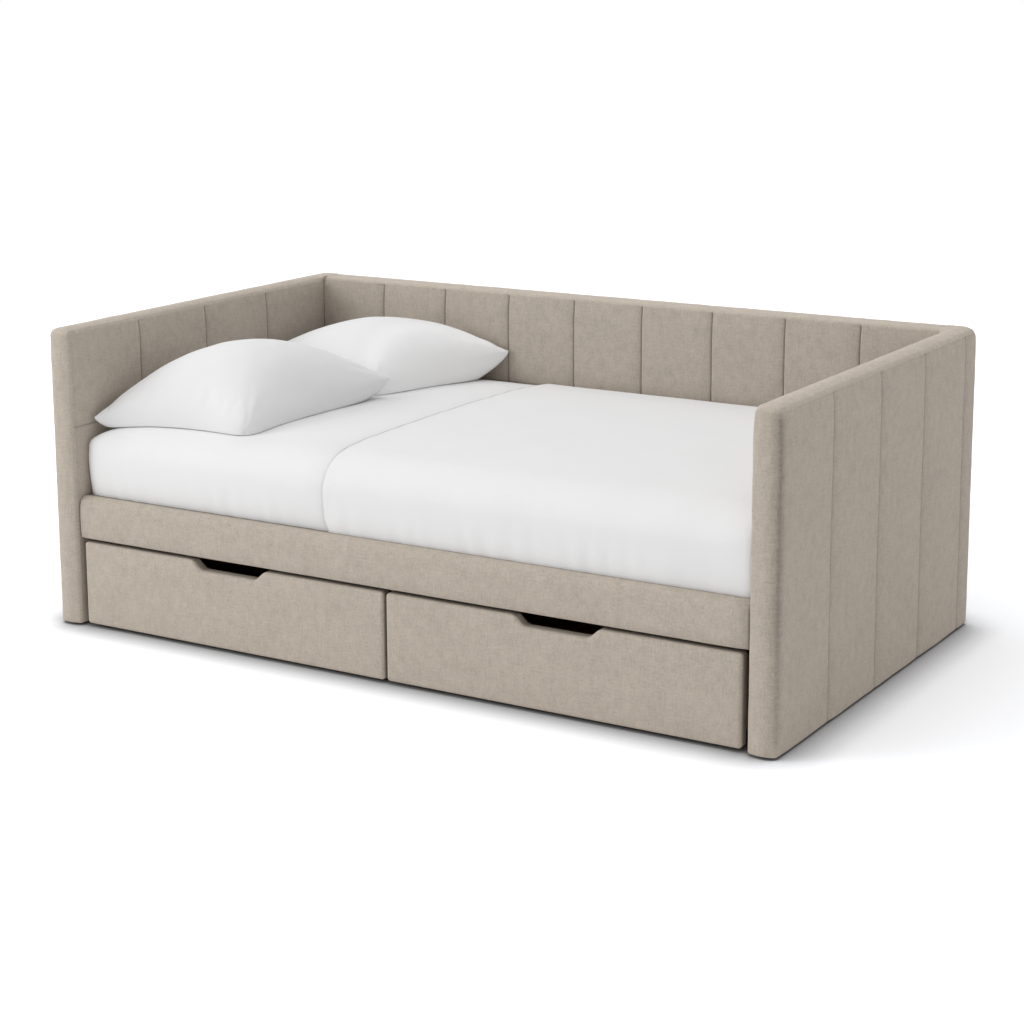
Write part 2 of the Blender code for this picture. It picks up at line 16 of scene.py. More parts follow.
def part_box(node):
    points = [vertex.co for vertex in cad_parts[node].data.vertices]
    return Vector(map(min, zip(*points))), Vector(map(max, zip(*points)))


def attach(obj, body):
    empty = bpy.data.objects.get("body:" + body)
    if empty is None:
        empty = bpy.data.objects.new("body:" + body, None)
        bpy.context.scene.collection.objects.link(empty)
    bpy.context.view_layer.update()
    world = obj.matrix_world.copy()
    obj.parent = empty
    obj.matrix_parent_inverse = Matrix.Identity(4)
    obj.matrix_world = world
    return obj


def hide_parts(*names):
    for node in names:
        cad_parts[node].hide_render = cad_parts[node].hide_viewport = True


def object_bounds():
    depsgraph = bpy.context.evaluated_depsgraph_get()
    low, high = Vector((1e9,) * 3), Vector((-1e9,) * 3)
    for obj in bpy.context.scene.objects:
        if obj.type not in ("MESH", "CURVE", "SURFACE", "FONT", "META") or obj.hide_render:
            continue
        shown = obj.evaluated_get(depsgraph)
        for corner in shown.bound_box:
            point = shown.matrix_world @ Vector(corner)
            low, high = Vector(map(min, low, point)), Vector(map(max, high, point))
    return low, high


bl_info = {
    "name": "Storage daybed finishes",
    "version": (1, 0, 0),
    "blender": (4, 5, 0),
    "location": "3D View > Sidebar > Daybed",
    "description": "Builds the padded panels, bedding and hardware of a storage daybed round its frame",
    "category": "Object",
}

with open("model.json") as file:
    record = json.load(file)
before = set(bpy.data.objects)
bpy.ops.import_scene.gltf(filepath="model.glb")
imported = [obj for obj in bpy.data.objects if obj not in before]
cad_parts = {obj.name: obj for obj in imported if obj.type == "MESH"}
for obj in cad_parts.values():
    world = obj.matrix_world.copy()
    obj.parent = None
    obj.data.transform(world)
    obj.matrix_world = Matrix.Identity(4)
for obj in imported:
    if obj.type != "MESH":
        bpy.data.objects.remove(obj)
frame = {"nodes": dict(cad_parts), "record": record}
cad_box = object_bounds()

ACROSS, DEEP, UP = 0, 1, 2
half_depth = cad_box[1].y
arm_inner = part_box("rail_cover")[1].x
back_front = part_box("back_cover")[0].y
rail_low, rail_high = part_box("rail_cover")
mattress_low, mattress_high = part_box("mattress")
mattress_front, mattress_rear = mattress_low.y, mattress_high.y
mattress_bottom, mattress_top = mattress_low.z, mattress_high.z

# Room between a board and its padded cover, how far its pocket runs out of the open side, how near two
# places count as one, and a guard for divisions

board_gap = 0.0003
pocket_overrun = 0.01
touching = 1e-4
tiny = 1e-9

cloths = {"upholstery": "upholstery_weave", "bedding": "bedding_cotton"}


def colour_property(name, description, default):
    return FloatVectorProperty(
        name=name, description=description, default=default, subtype="COLOR", size=3, min=0, max=1)


def length_property(name, description, default):
    return FloatProperty(name=name, description=description, default=default, unit="LENGTH", min=0)


class DaybedPanels(bpy.types.PropertyGroup):
    """Padding and seams of the arms, the back, the rail and the drawer fronts."""

    groove: length_property("Seam depth", "How far the padding is drawn in along a sewn channel", 0.0046)
    groove_reach: length_property("Seam reach", "How far the draw of a seam spreads into the padding", 0.0120)
    crease: length_property("Crease depth", "Extra depth of the sharp crease right at the stitching", 0.0018)
    crease_reach: length_property("Crease width", "Half width of the sharp crease", 0.0020)
    belly: length_property("Channel crown", "How far each channel swells in its middle", 0.0020)
    face_swell: length_property("Face swell", "How far a panel's faces fall away towards their edges", 0.0045)
    swell_reach: length_property("Face swell reach", "How far in from the edges the faces fall away", 0.0700)
    edge_radius: length_property("Edge roundness", "Radius of the panels' outer sewn edges", 0.0085)
    soft_radius: length_property("Inner edge roundness", "Radius of the edges towards the bed", 0.0075)
    proud: length_property("Padding over the edge", "How far the edge strips stand over the frame", 0.0055)
    edge_dome: length_property("Edge crown", "How far an edge strip swells across the thickness", 0.0095)
    front_corner: length_property("Front corner", "Radius of an arm's upper front corner", 0.0175)
    rear_corner: length_property("Rear corner", "Radius of an arm's upper rear corner", 0.0220)
    valley: length_property("Boxing fold", "Depth of the soft fold at an arm's outer front corner", 0.0055)
    colour: colour_property("Fabric colour", "Woven upholstery", (0.466, 0.409, 0.349))


class DaybedBedding(bpy.types.PropertyGroup):
    """Mattress, cover and pillows."""

    colour: colour_property("Bedding colour", "White cotton", (0.80, 0.80, 0.803))
    wrinkle: length_property("Wrinkles", "Height of the soft wrinkles in the bedding", 0.0012)
    cover_thickness: length_property("Cover thickness", "Thickness of the thin bed cover", 0.0040)


class DaybedHardware(bpy.types.PropertyGroup):
    """Timber, metal and plastic colours."""

    timber: colour_property("Timber colour", "Light pine boards and slats", (0.56, 0.38, 0.21))
    plastic: colour_property("Plastic colour", "Black wheels, runners and glides", (0.018, 0.018, 0.018))
    steel: colour_property("Steel colour", "Zinc-plated brackets", (0.52, 0.52, 0.53))


# Mesh work by operators


def take_up(piece):
    """Select one piece alone and make it the active one."""
    bpy.ops.object.select_all(action="DESELECT")
    piece.select_set(True)
    bpy.context.view_layer.objects.active = piece


def start_block(name, low, high):
    """A block between two corners, with its place in its mesh."""
    bpy.ops.object.select_all(action="DESELECT")
    low, high = Vector(low), Vector(high)
    bpy.ops.mesh.primitive_cube_add(size=1, location=(low + high) / 2, scale=high - low)
    piece = bpy.context.object
    piece.name = piece.data.name = name
    bpy.ops.object.transform_apply(location=True, rotation=True, scale=True)
    return piece


def pick(piece, kind, test):
    """In edit mode, select the vertices, edges or faces that pass a test."""
    bpy.ops.mesh.select_mode(type=kind)
    bpy.ops.mesh.select_all(action="DESELECT")
    work = bmesh.from_edit_mesh(piece.data)
    for part in {"VERT": work.verts, "EDGE": work.edges, "FACE": work.faces}[kind]:
        part.select_set(test(part))
    bmesh.update_edit_mesh(piece.data)


def cut_across(axis, places):
    """In edit mode, cut the whole mesh square to an axis at each place."""
    normal = [0, 0, 0]
    normal[axis] = 1
    for place in places:
        bpy.ops.mesh.select_all(action="SELECT")
        spot = [0, 0, 0]
        spot[axis] = float(place)
        bpy.ops.mesh.bisect(plane_co=spot, plane_no=normal)


def quarter_faces():
    """In edit mode, cut every face in four."""
    bpy.ops.mesh.select_all(action="SELECT")
    bpy.ops.mesh.subdivide(number_cuts=1)


def round_off(piece, radius, segments, test):
    """In edit mode, bevel the edges that pass a test."""
    pick(piece, "EDGE", test)
    bpy.ops.mesh.bevel(offset=radius, offset_type="OFFSET", segments=segments, profile=0.5, affect="EDGES")


def finish_modifier(piece, kind, **settings):
    """Add a modifier and apply it."""
    bpy.context.view_layer.objects.active = piece
    step = piece.modifiers.new(kind.lower(), kind)
    for key, value in settings.items():
        setattr(step, key, value)
    bpy.ops.object.modifier_apply(modifier=step.name)


def carve_pocket(piece, low, high):
    """Cut the room for a board out of a padded cover."""
    pocket = start_block("pocket", low, high)
    finish_modifier(piece, "BOOLEAN", operation="DIFFERENCE", solver="EXACT", object=pocket)
    bpy.data.objects.remove(pocket)


def points_of(piece):
    points = np.empty(len(piece.data.vertices) * 3)
    piece.data.vertices.foreach_get("co", points)
    return points.reshape(-1, 3)


def normals_of(piece):
    normals = np.empty(len(piece.data.vertices) * 3)
    piece.data.vertices.foreach_get("normal", normals)
    return normals.reshape(-1, 3)


def set_points(piece, points):
    piece.data.vertices.foreach_set("co", np.ascontiguousarray(points, dtype=np.float32).ravel())
    piece.data.update()


def smooth_faces(piece, angle):
    take_up(piece)
    bpy.ops.object.shade_smooth_by_angle(angle=math.radians(angle))


def write_attribute(piece, name, values):
    """Keep one number per vertex for the materials to read."""
    made = piece.data.attributes.get(name) or piece.data.attributes.new(name, "FLOAT", "POINT")
    made.data.foreach_set("value", np.ascontiguousarray(values, dtype=np.float32))


def lay_cloth_map(piece, upright):
    """A UV map in metres, laid flat on each face by its main direction.

    upright names the axis that the warp follows on a face that looks up.
    """
    mesh = piece.data
    layer = mesh.uv_layers.get("cloth") or mesh.uv_layers.new(name="cloth")
    points = points_of(piece)
    corners = np.empty(len(mesh.loops), dtype=np.int32)
    mesh.loops.foreach_get("vertex_index", corners)
    sizes = np.empty(len(mesh.polygons), dtype=np.int32)
    mesh.polygons.foreach_get("loop_total", sizes)
    normals = np.empty(len(mesh.polygons) * 3)
    mesh.polygons.foreach_get("normal", normals)
    main = np.repeat(np.abs(normals.reshape(-1, 3)).argmax(1), sizes)
    at = points[corners]
    from_above = (DEEP, ACROSS) if upright == ACROSS else (ACROSS, DEEP)
    laid = np.zeros((len(corners), 2))
    for axis, flat in ((ACROSS, (DEEP, UP)), (DEEP, (ACROSS, UP)), (UP, from_above)):
        here = main == axis
        laid[here] = at[here][:, flat]
    layer.data.foreach_set("uv", laid.astype(np.float32).ravel())


def hand_over(piece, node, slot, body, smooth):
    """Smooth a soft piece, give it its cloth, hide the node it replaces and attach it to the body that
    carries it.
    """
    smooth_faces(piece, smooth)
    piece.data.materials.append(bpy.data.materials[cloths[slot]])
    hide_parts(node)
    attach(piece, body)


# Soft steps, lines, fades and lumps


def ramp(values, low, high):
    """A smooth step from 0 to 1 between two values."""
    share = np.clip((values - low) / (high - low), 0, 1)
    return share * share * (3 - 2 * share)


def bump_at(distance, reach):
    """1 at no distance, falling smoothly away on both sides."""
    return np.exp(-(distance / reach) ** 2)


def soft_noise(points, scale, seed):
    """Smooth repeatable noise from -1 to 1: a sum of turned sine waves."""
    turn = np.random.RandomState(seed)
    total = np.zeros(len(points))
    for _ in range(10):
        direction = turn.normal(size=3)
        direction *= turn.uniform(0.6, 1.5) / (scale * np.linalg.norm(direction))
        total += np.sin(points @ direction * 2 * math.pi + turn.uniform(0, 2 * math.pi))
    return total / 4.5


class Line(NamedTuple):
    """A soft line beside a seam or an edge: how far in it lies, how wide it is and how strong."""

    place: float
    reach: float
    strength: float

    def at(self, distance):
        return self.strength * bump_at(distance - self.place, self.reach)


class Fade(NamedTuple):
    """A draw or a shade that dies away: how strong it starts and how far it reaches."""

    strength: float
    reach: float

    def at(self, distance):
        return self.strength * np.exp(-distance / self.reach)


class Lumps(NamedTuple):
    """Soft unevenness: how wide its lumps are, how high they stand and the seed of its noise."""

    width: float
    height: float
    seed: int

    def over(self, points):
        return self.height * soft_noise(points, self.width, self.seed)


class SeamShade(NamedTuple):
    """Painted shade of a lapped seam, where shade falls in its groove: crisp on its high side, wider and
    spread out on its low side.
    """

    core: float
    low_reach: float
    high_reach: float
    spread: Fade

    def beside(self, nearest):
        low_side = nearest > 0
        core = self.core * bump_at(nearest, np.where(low_side, self.low_reach, self.high_reach))
        return core + self.spread.at(np.abs(nearest)) * low_side


# Form of the panels' padding

strip_reach = 0.03
back_dome_share = 0.4
end_fall_share = 0.3
inner_fall_share = 1.6
underside_reach = 0.015
underside_radius = 0.004

# Where an arm's inner face passes behind the back, and how square it is there

hidden_from, hidden_to = back_front - 0.012, back_front + 0.006
hidden_radius = 0.0015

# Where a panel is cut: beside its seams, edges and cross seam, up its height and through its thickness

seam_steps = (0, 0.0010, 0.0022, 0.0046, 0.009, 0.016, 0.028, 0.048, 0.074)
front_steps = (0.036, 0.044, 0.054)
top_steps = (0.036, 0.045)
cross_steps = (-0.006, -0.0025, 0, 0.0025, 0.006)
thickness_steps = [0.014, 0.022, 0.030]
row_pitch = 0.016
plain_front, plain_rear, plain_top = 0.05, 0.03, 0.05

# Relief of the panels' seams

cross_height = 0.531
arm_groove_share = 0.75
lap_reach = 0.0016
seam_end = 0.004
cross_draw = Fade(0.0022, 0.012)
cross_crease = Line(0, 0.0025, 0.0012)
boxing_groove = Line(0.0095, 0.0018, 0.0007)
face_lumps = Lumps(0.12, 0.0006, 5)
strip_lumps = Lumps(0.07, 0.0004, 12)
fold_reach = 0.013
fold_front = 0.09
left_fold_share = 0.3
gathers_at_fold = Fade(1, 0.014)

# Painted shade at the panels' seams, fold and corners, and painted highlights, as shares of the cloth's
# colour

back_seam = SeamShade(0.20, 0.0040, 0.0012, Fade(0.11, 0.012))
arm_seam = SeamShade(0.22, 0.0045, 0.0012, Fade(0.09, 0.014))
outer_seam = SeamShade(0.13, 0.0075, 0.0010, Fade(0.10, 0.022))
lap_light = Line(-0.003, 0.002, 0.035)
cross_shade = Line(0, 0.0030, 0.22)
fold_core_shade = Line(0, 0.0060, 0.12)
fold_wide_shade = Line(0, 0.017, 0.20)
fold_side_shade = Fade(0.16, 0.020)
fold_side_start = 0.004
front_boxing_shade = Line(0.0095, 0.0014, 0.12)
top_boxing_shade = Line(0.0100, 0.0016, 0.06)
top_boxing_light = Line(0.0065, 0.0016, 0.03)
arm_corner_shade = Fade(0.12, 0.22)
back_corner_shade = Fade(0.07, 0.22)
# Painted highlight: how much lighter faces that look up are painted
upward_light = 0.17


class Panel(NamedTuple):
    """One upholstered panel: its pieces, the axis it runs along, the one through it, and its seams.

    cross_heights holds the cross seam's height on the low and the high face, or zero. corners holds the
    radii of the upper front and rear corners in side view. outer is an arm's outer side (-1 or 1), or
    zero for the back.
    """

    piece: str
    node: str
    board: str
    along: int
    through: int
    seams: list
    cross_heights: tuple
    corners: tuple = (0, 0)
    outer: int = 0


class PanelForm:
    """Where each point of a panel's block lies, and its place on the soft form.

    Each edge strip is domed across the panel's thickness, and its side view has round corners. inward is
    how far in from the side view's outline a point of the block lies, depth how far from the nearest face.
    """

    def __init__(self, points, panel):
        self.panel = panel
        self.low, self.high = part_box(panel.node)
        middle = (self.high[panel.through] + self.low[panel.through]) / 2
        self.half = (self.high[panel.through] - self.low[panel.through]) / 2
        self.side = np.where(points[:, panel.through] > middle, 1.0, -1.0)
        self.is_outer = (self.side == panel.outer) | (panel.outer == 0) & (self.side > 0)
        self.depth = self.half - np.abs(points[:, panel.through] - middle)
        self.run, self.height = points[:, panel.along].copy(), points[:, UP].copy()
        self.top_gap = self.high[UP] - self.height
        self.front_gap, self.rear_gap = self.run - self.low[panel.along], self.high[panel.along] - self.run
        faces_bed = (self.side == -panel.outer) * abs(panel.outer)
        self.squared = ramp(self.run, hidden_from, hidden_to) * faces_bed
        side_view, outwards = self.round_corners()
        self.placed = self.pad(points, side_view, outwards)

    def round_corners(self):
        """The points in side view with round upper corners, and which way is outwards there."""
        along, corners = self.panel.along, self.panel.corners
        self.inward = self.top_gap.copy()
        side_view = np.stack((self.run, self.height), axis=1)
        outwards = np.tile((0.0, 1.0), (len(self.run), 1))
        front_end = (self.front_gap, corners[0], -1, self.low[along])
        rear_end = (self.rear_gap, corners[1], 1, self.high[along])
        for gap, corner, sign, end in (front_end, rear_end):
            if not corner:
                continue
            nearer = gap < self.inward
            self.inward = np.where(nearer, gap, self.inward)
            outwards[nearer] = (sign, 0)
            u, v = np.clip(corner - gap, 0, None), np.clip(corner - self.top_gap, 0, None)
            turned = (u > 0) & (v > 0)
            reach = np.maximum(np.hypot(u, v), tiny)
            scale = np.maximum(u, v) / reach
            side_view[turned, 0] = (end - sign * (corner - u * scale))[turned]
            side_view[turned, 1] = (self.high[UP] - corner + v * scale)[turned]
            outwards[turned] = np.stack((sign * u / reach, v / reach), axis=1)[turned]
        return side_view, outwards

    def pad(self, points, side_view, outwards):
        """Round the sewn edges, dome the edge strips and let the faces fall away towards their edges."""
        sizes = bpy.context.scene.daybed_panels
        along, through, is_arm = self.panel.along, self.panel.through, abs(self.panel.outer)
        radius = np.where(self.is_outer, sizes.edge_radius, sizes.soft_radius)
        radius = radius + (hidden_radius - radius) * self.squared
        u, v = np.clip(1 - self.inward / radius, 0, None), np.clip(1 - self.depth / radius, 0, None)
        scale = np.where((u > 0) & (v > 0), np.maximum(u, v) / np.maximum(np.hypot(u, v), tiny), 1)
        new_inward = np.where(u > 0, radius * (1 - u * scale), self.inward)
        new_depth = np.where(v > 0, radius * (1 - v * scale), self.depth)
        on_strip = 1 - ramp(new_inward, 0, strip_reach)
        dome = sizes.edge_dome * (1 - self.squared) * (1 if is_arm else back_dome_share)
        swell = dome * (1 - new_depth / self.half) ** 2 * on_strip
        shift = new_inward + swell - self.inward - sizes.proud * on_strip
        end_gap = np.minimum(self.front_gap, self.rear_gap)
        near_top = np.clip(1 - self.top_gap / sizes.swell_reach, 0, 1) ** 2
        near_end = is_arm * end_fall_share * np.clip(1 - end_gap / sizes.swell_reach, 0, 1) ** 2
        near_edge = (near_top + near_end - near_top * near_end) * (1 - new_depth / self.half)
        fall = np.where(self.is_outer, 1.0, inner_fall_share) * sizes.face_swell
        fall = fall * near_edge * (1 - self.squared)
        inside = np.minimum(self.inward, self.depth)
        underneath = self.height < self.low[UP] + touching
        loose = np.where(underneath, np.clip(1 - inside / underside_reach, 0, 1), 1)
        placed = points.copy()
        placed[:, along] = self.run + (side_view[:, 0] - outwards[:, 0] * shift - self.run) * loose
        placed[:, UP] = self.height + (side_view[:, 1] - outwards[:, 1] * shift - self.height) * loose
        placed[:, through] += self.side * (self.depth - new_depth - fall) * loose
        return placed


class SeamGaps:
    """How far each point of a panel lies from its seams and edges, and where the seams are sewn.

    nearest is the distance from the nearest channel's seam, positive on the seam's low side. fold says how
    strong the boxing fold at an arm's outer front corner is.
    """

    def __init__(self, form):
        panel, top = form.panel, form.high[UP]
        lap = 1 if panel.outer else -1
        shifts = form.run[:, None] - np.array(panel.seams)[None, :]
        self.nearest = shifts[np.arange(len(form.run)), np.abs(shifts).argmin(axis=1)] * lap
        cross = np.where(form.side > 0, panel.cross_heights[1], panel.cross_heights[0])
        self.cross = np.where(cross > 0, np.abs(form.height - cross), 1.0)
        self.edge = form.inward - form.depth
        self.top_edge, self.front_edge = form.top_gap - form.depth, form.front_gap - form.depth
        self.on_face = ramp(self.edge, 0.001, 0.010)
        self.sewn = ramp(self.top_edge, 0.002, 0.009) * ramp(form.height, cross - 0.005, cross + 0.001)
        self.at_front = (form.front_gap < fold_front) * abs(panel.outer)
        self.below_top = 1 - ramp(form.height, top - 0.030, top - 0.002)
        deeper = 0.55 + 0.45 * ramp(form.height, 0.08, 0.40)
        self.fold = deeper * ramp(form.height, 0.0, 0.06) * self.below_top
        self.fold = self.fold * self.at_front * form.is_outer * (1.0 if panel.outer > 0 else left_fold_share)


def seam_profile(beside, groove):
    """How deep the padding is drawn in beside a lapped seam; the low side lies at positive distances."""
    sizes = bpy.context.scene.daybed_panels
    low_side = groove * np.exp(-np.clip(beside, 0, None) / sizes.groove_reach)
    high_side = groove * np.exp(np.clip(beside, None, 0) / lap_reach)
    return np.where(beside > 0, low_side, high_side) + sizes.crease * bump_at(beside, sizes.crease_reach)


def seam_relief(block, form, gaps):
    """How far the padding is drawn in by its seams, its fold and its lumps."""
    sizes = bpy.context.scene.daybed_panels
    seams, bottom = form.panel.seams, form.low[UP]
    groove = sizes.groove * (arm_groove_share if form.panel.outer else 1)
    blunted = np.copysign(np.hypot(gaps.nearest, seam_end), gaps.nearest)
    drawn = seam_profile(np.where(gaps.sewn > 0, gaps.nearest, blunted), groove) * gaps.sewn * gaps.on_face
    drawn = drawn + (cross_draw.at(gaps.cross) + cross_crease.at(gaps.cross)) * gaps.on_face
    from_middle = 2 * np.abs(gaps.nearest) / abs(seams[1] - seams[0]) - 1
    drawn = drawn - sizes.belly * np.clip(1 - from_middle ** 2, 0, 1) * ramp(gaps.edge, 0.01, 0.10)
    drawn = drawn * (0.3 + 0.7 * ramp(form.height, bottom, bottom + 0.035))
    boxing = boxing_groove.at(gaps.edge) * (form.rear_gap > plain_rear) * form.is_outer
    lumps = face_lumps.over(block * (1, 1, 0.6)) * ramp(gaps.edge, 0.0, 0.06)
    lumps = lumps + strip_lumps.over(block) * (1 - ramp(gaps.edge, 0.0, 0.03))
    folded = sizes.valley * gaps.fold * bump_at(gaps.front_edge, fold_reach)
    return (drawn + boxing + lumps + folded) * (1 - form.squared)


def painted_shading(form, gaps):
    """Painted shade: how much darker the cloth is painted at its seams, its fold and its inner corners, where
    shade falls.
    """
    is_arm = form.panel.outer
    inner = (arm_seam if is_arm else back_seam).beside(gaps.nearest)
    outer = outer_seam.beside(gaps.nearest) - lap_light.at(gaps.nearest)
    shade = np.where(form.is_outer, outer, inner) * gaps.sewn * gaps.on_face
    shade = shade + cross_shade.at(gaps.cross) * gaps.on_face
    shade = shade + gaps.fold * (fold_wide_shade.at(gaps.front_edge) + fold_core_shade.at(gaps.front_edge))
    fold_side = fold_side_shade.at(np.abs(gaps.front_edge - fold_side_start))
    shade = shade + gaps.fold * fold_side * (gaps.front_edge > fold_side_start)
    shade = shade + front_boxing_shade.at(gaps.front_edge) * gaps.below_top * gaps.at_front * ~form.is_outer
    top_boxing = top_boxing_shade.at(gaps.top_edge) - top_boxing_light.at(gaps.top_edge)
    shade = shade + top_boxing * form.is_outer * (form.front_gap > 0.02)
    to_back, to_arm = np.clip(back_front - form.run, 0, None), np.minimum(form.front_gap, form.rear_gap)
    corner = arm_corner_shade.at(to_back) if is_arm else back_corner_shade.at(to_arm)
    return shade + corner * ~form.is_outer * ramp(form.top_gap, 0, 0.05)


def sew_panel(piece, panel):
    """Move a cut block onto its soft form and sew its channels, boxing seams and folds."""
    block = points_of(piece)
    form = PanelForm(block, panel)
    gaps = SeamGaps(form)
    room = 2 * board_gap
    board_low, board_high = np.array(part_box(panel.board)) + [[-room], [room]]
    in_plan = ((block[:, :2] > board_low[:2]) & (block[:, :2] < board_high[:2])).all(axis=1)
    pocket = (in_plan & (block[:, UP] < board_high[UP]))[:, None]
    set_points(piece, np.where(pocket, block, form.placed))
    moved = form.placed - normals_of(piece) * seam_relief(block, form, gaps)[:, None]
    set_points(piece, np.where(pocket, block, moved))
    # Painted light and shade: darker at the seams, the fold and the inner corners, lighter on faces that look
    # up
    upward = np.clip(normals_of(piece)[:, UP], 0, 1) ** 2
    write_attribute(piece, "painted_shading", (1 - painted_shading(form, gaps)) * (1 + upward_light * upward))
    write_attribute(piece, "gathers", gaps.fold * gathers_at_fold.at(np.abs(gaps.front_edge)))


def rounding_steps(radius):
    """Distances in from an edge at which a rounding of that radius is cut."""
    return [radius * (1 - math.tan(turn * math.pi / 20)) for turn in range(5)]


def tidy_places(places):
    """Cut places in order, each once."""
    return sorted(set(round(place, 5) for place in places))


def cut_panel(panel):
    """In edit mode, cut a panel's block close to its seams and edges, and wider between them."""
    sizes = bpy.context.scene.daybed_panels
    along, through = panel.along, panel.through
    low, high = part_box(panel.node)
    edges, soft_edges = rounding_steps(sizes.edge_radius), rounding_steps(sizes.soft_radius)
    beside_seams = [seam + sign * step for seam in panel.seams for step in seam_steps for sign in (-1, 1)]
    columns = [
        place for place in tidy_places(beside_seams)
        if low[along] + plain_front < place < high[along] - plain_rear]
    if panel.outer:
        front, rear = (rounding_steps(corner) for corner in panel.corners)
        columns += [low[along] + step for step in (*front, *edges, *soft_edges, *front_steps)]
        columns += [high[along] - step for step in rear + edges]
    cut_across(along, tidy_places(columns))
    rows = list(np.arange(low[UP] + row_pitch, high[UP] - plain_top, row_pitch))
    top_edges = (*rounding_steps(sizes.front_corner), *edges, *soft_edges, *top_steps)
    rows += [high[UP] - step for step in top_edges]
    rows += [cross + step for cross in panel.cross_heights if cross for step in cross_steps]
    cut_across(UP, tidy_places(rows))
    low_edges, high_edges = (edges, soft_edges) if panel.outer < 0 else (soft_edges, edges)
    cut_across(through, [low[through] + step for step in low_edges + thickness_steps])
    cut_across(through, [high[through] - step for step in high_edges + thickness_steps])
    quarter_faces()


def padded_panel(panel):
    """One upholstered panel round its board, with sewn channels on both faces."""
    low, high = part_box(panel.node)
    board_low, board_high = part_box(panel.board)
    piece = start_block(panel.piece, low, high)
    bpy.ops.object.mode_set(mode="EDIT")
    round_off(
        piece, underside_radius, 2, lambda edge: max(vert.co.z for vert in edge.verts) < low.z + touching)
    cut_panel(panel)
    bpy.ops.object.mode_set(mode="OBJECT")
    carve_pocket(
        piece, (board_low.x - board_gap, board_low.y - board_gap, low.z - pocket_overrun),
        (board_high.x + board_gap, board_high.y + board_gap, board_high.z + board_gap))
    sew_panel(piece, panel)
    lay_cloth_map(piece, panel.along)
    hand_over(piece, panel.node, "upholstery", "daybed_frame", 50)


class DAYBED_OT_arms_and_back(bpy.types.Operator):
    """Upholster both arms and the back in sewn channels"""

    bl_idname = "daybed.arms_and_back"
    bl_label = "Arms and back"

    def execute(self, context):
        sizes = context.scene.daybed_panels
        arm_pitch, back_pitch = 0.2775, 2 * arm_inner / 9
        arm_seams = [-half_depth + arm_pitch * number for number in range(1, 5)]
        back_seams = [-arm_inner + back_pitch * number for number in range(1, 9)]
        corners = (sizes.front_corner, sizes.rear_corner)
        for side, cross_heights, outer in (("left", (0, cross_height), -1), ("right", (cross_height, 0), 1)):
            padded_panel(Panel(
                f"{side}_arm_upholstery", f"{side}_arm_cover", f"{side}_arm_board", DEEP, ACROSS,
                arm_seams, cross_heights, corners, outer))
        padded_panel(Panel(
            "back_upholstery", "back_cover", "back_board", ACROSS, DEEP, back_seams, (cross_height, 0)))
        return {"FINISHED"}


# Front rail

rail_radius, rail_swell = 0.005, 0.0016
rail_lumps = Lumps(0.12, 0.0006, 21)
rail_slope, rail_lean = 0.007, 0.004
rail_end_draw = Fade(0.005, 0.013)
# Painted shade at the rail's ends, low on its front and at its rear top edge under the mattress
rail_end_shade = Fade(0.17, 0.013)
rail_low_shade = 0.10
rail_rear_shade = 0.65


class DAYBED_OT_rail(bpy.types.Operator):
    """Upholster the front rail"""

    bl_idname = "daybed.rail"
    bl_label = "Front rail"

    def execute(self, context):
        piece = start_block("rail_upholstery", rail_low, rail_high)
        board_low, board_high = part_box("rail_board")
        bpy.ops.object.mode_set(mode="EDIT")
        rear = rail_high.y - touching
        round_off(piece, rail_radius, 4, lambda edge: max(vert.co.y for vert in edge.verts) < rear)
        bpy.ops.object.mode_set(mode="OBJECT")
        carve_pocket(
            piece, (board_low.x - board_gap, board_low.y - board_gap, board_low.z - board_gap),
            (board_high.x + board_gap, board_high.y + pocket_overrun, board_high.z + board_gap))
        take_up(piece)
        bpy.ops.object.mode_set(mode="EDIT")
        cut_across(ACROSS, np.arange(rail_low.x + 0.03, rail_high.x - 0.02, 0.025))
        cut_across(UP, np.arange(rail_low.z + 0.016, rail_high.z - 0.014, 0.013))
        cut_across(DEEP, (rail_high.y - 0.020, rail_high.y - 0.008))
        quarter_faces()
        bpy.ops.object.mode_set(mode="OBJECT")
        self.pad(piece)
        lay_cloth_map(piece, ACROSS)
        hand_over(piece, "rail_cover", "upholstery", "daybed_frame", 50)
        return {"FINISHED"}

    def pad(self, piece):
        """Swell the front, slope the top towards it, and paint shade on the ends, low on the front and along
        the line below the mattress.
        """
        points = points_of(piece)
        moved = points.copy()
        front = ramp(rail_high.y - points[:, DEEP], 0.024, 0.040)
        level = (points[:, UP] - rail_low.z) / (rail_high.z - rail_low.z)
        inset = np.minimum(points[:, ACROSS] - rail_low.x, rail_high.x - points[:, ACROSS])
        swell = -rail_swell * (2 * level - 1) ** 2
        moved[:, DEEP] -= front * (swell + rail_lumps.over(points * (0.7, 1, 1)) - rail_end_draw.at(inset))
        front_gap = points[:, DEEP] - rail_low.y
        moved[:, UP] -= rail_slope * ramp(level, 0.6, 1.0) * (1 - ramp(front_gap, 0, 0.026)) ** 1.5
        moved[:, DEEP] += rail_lean * ramp(level, 0.72, 1.0) ** 2 * (1 - ramp(front_gap, 0, 0.03))
        set_points(piece, moved)
        # Painted shade: the ends, the low front and the rear top edge beside the mattress are painted darker,
        # where shade falls
        behind = ramp(points[:, DEEP], rail_high.y - 0.020, rail_high.y - 0.006) * ramp(level, 0.9, 1.0)
        shade = rail_end_shade.at(inset) + rail_low_shade * ramp(level, 0.5, 0.0) ** 3
        write_attribute(piece, "painted_shading", 1 - shade - rail_rear_shade * behind)
        write_attribute(piece, "gathers", np.zeros(len(points)))


# Drawer fronts: the notch's half width at its top and floor and its depth, and the recess behind the front

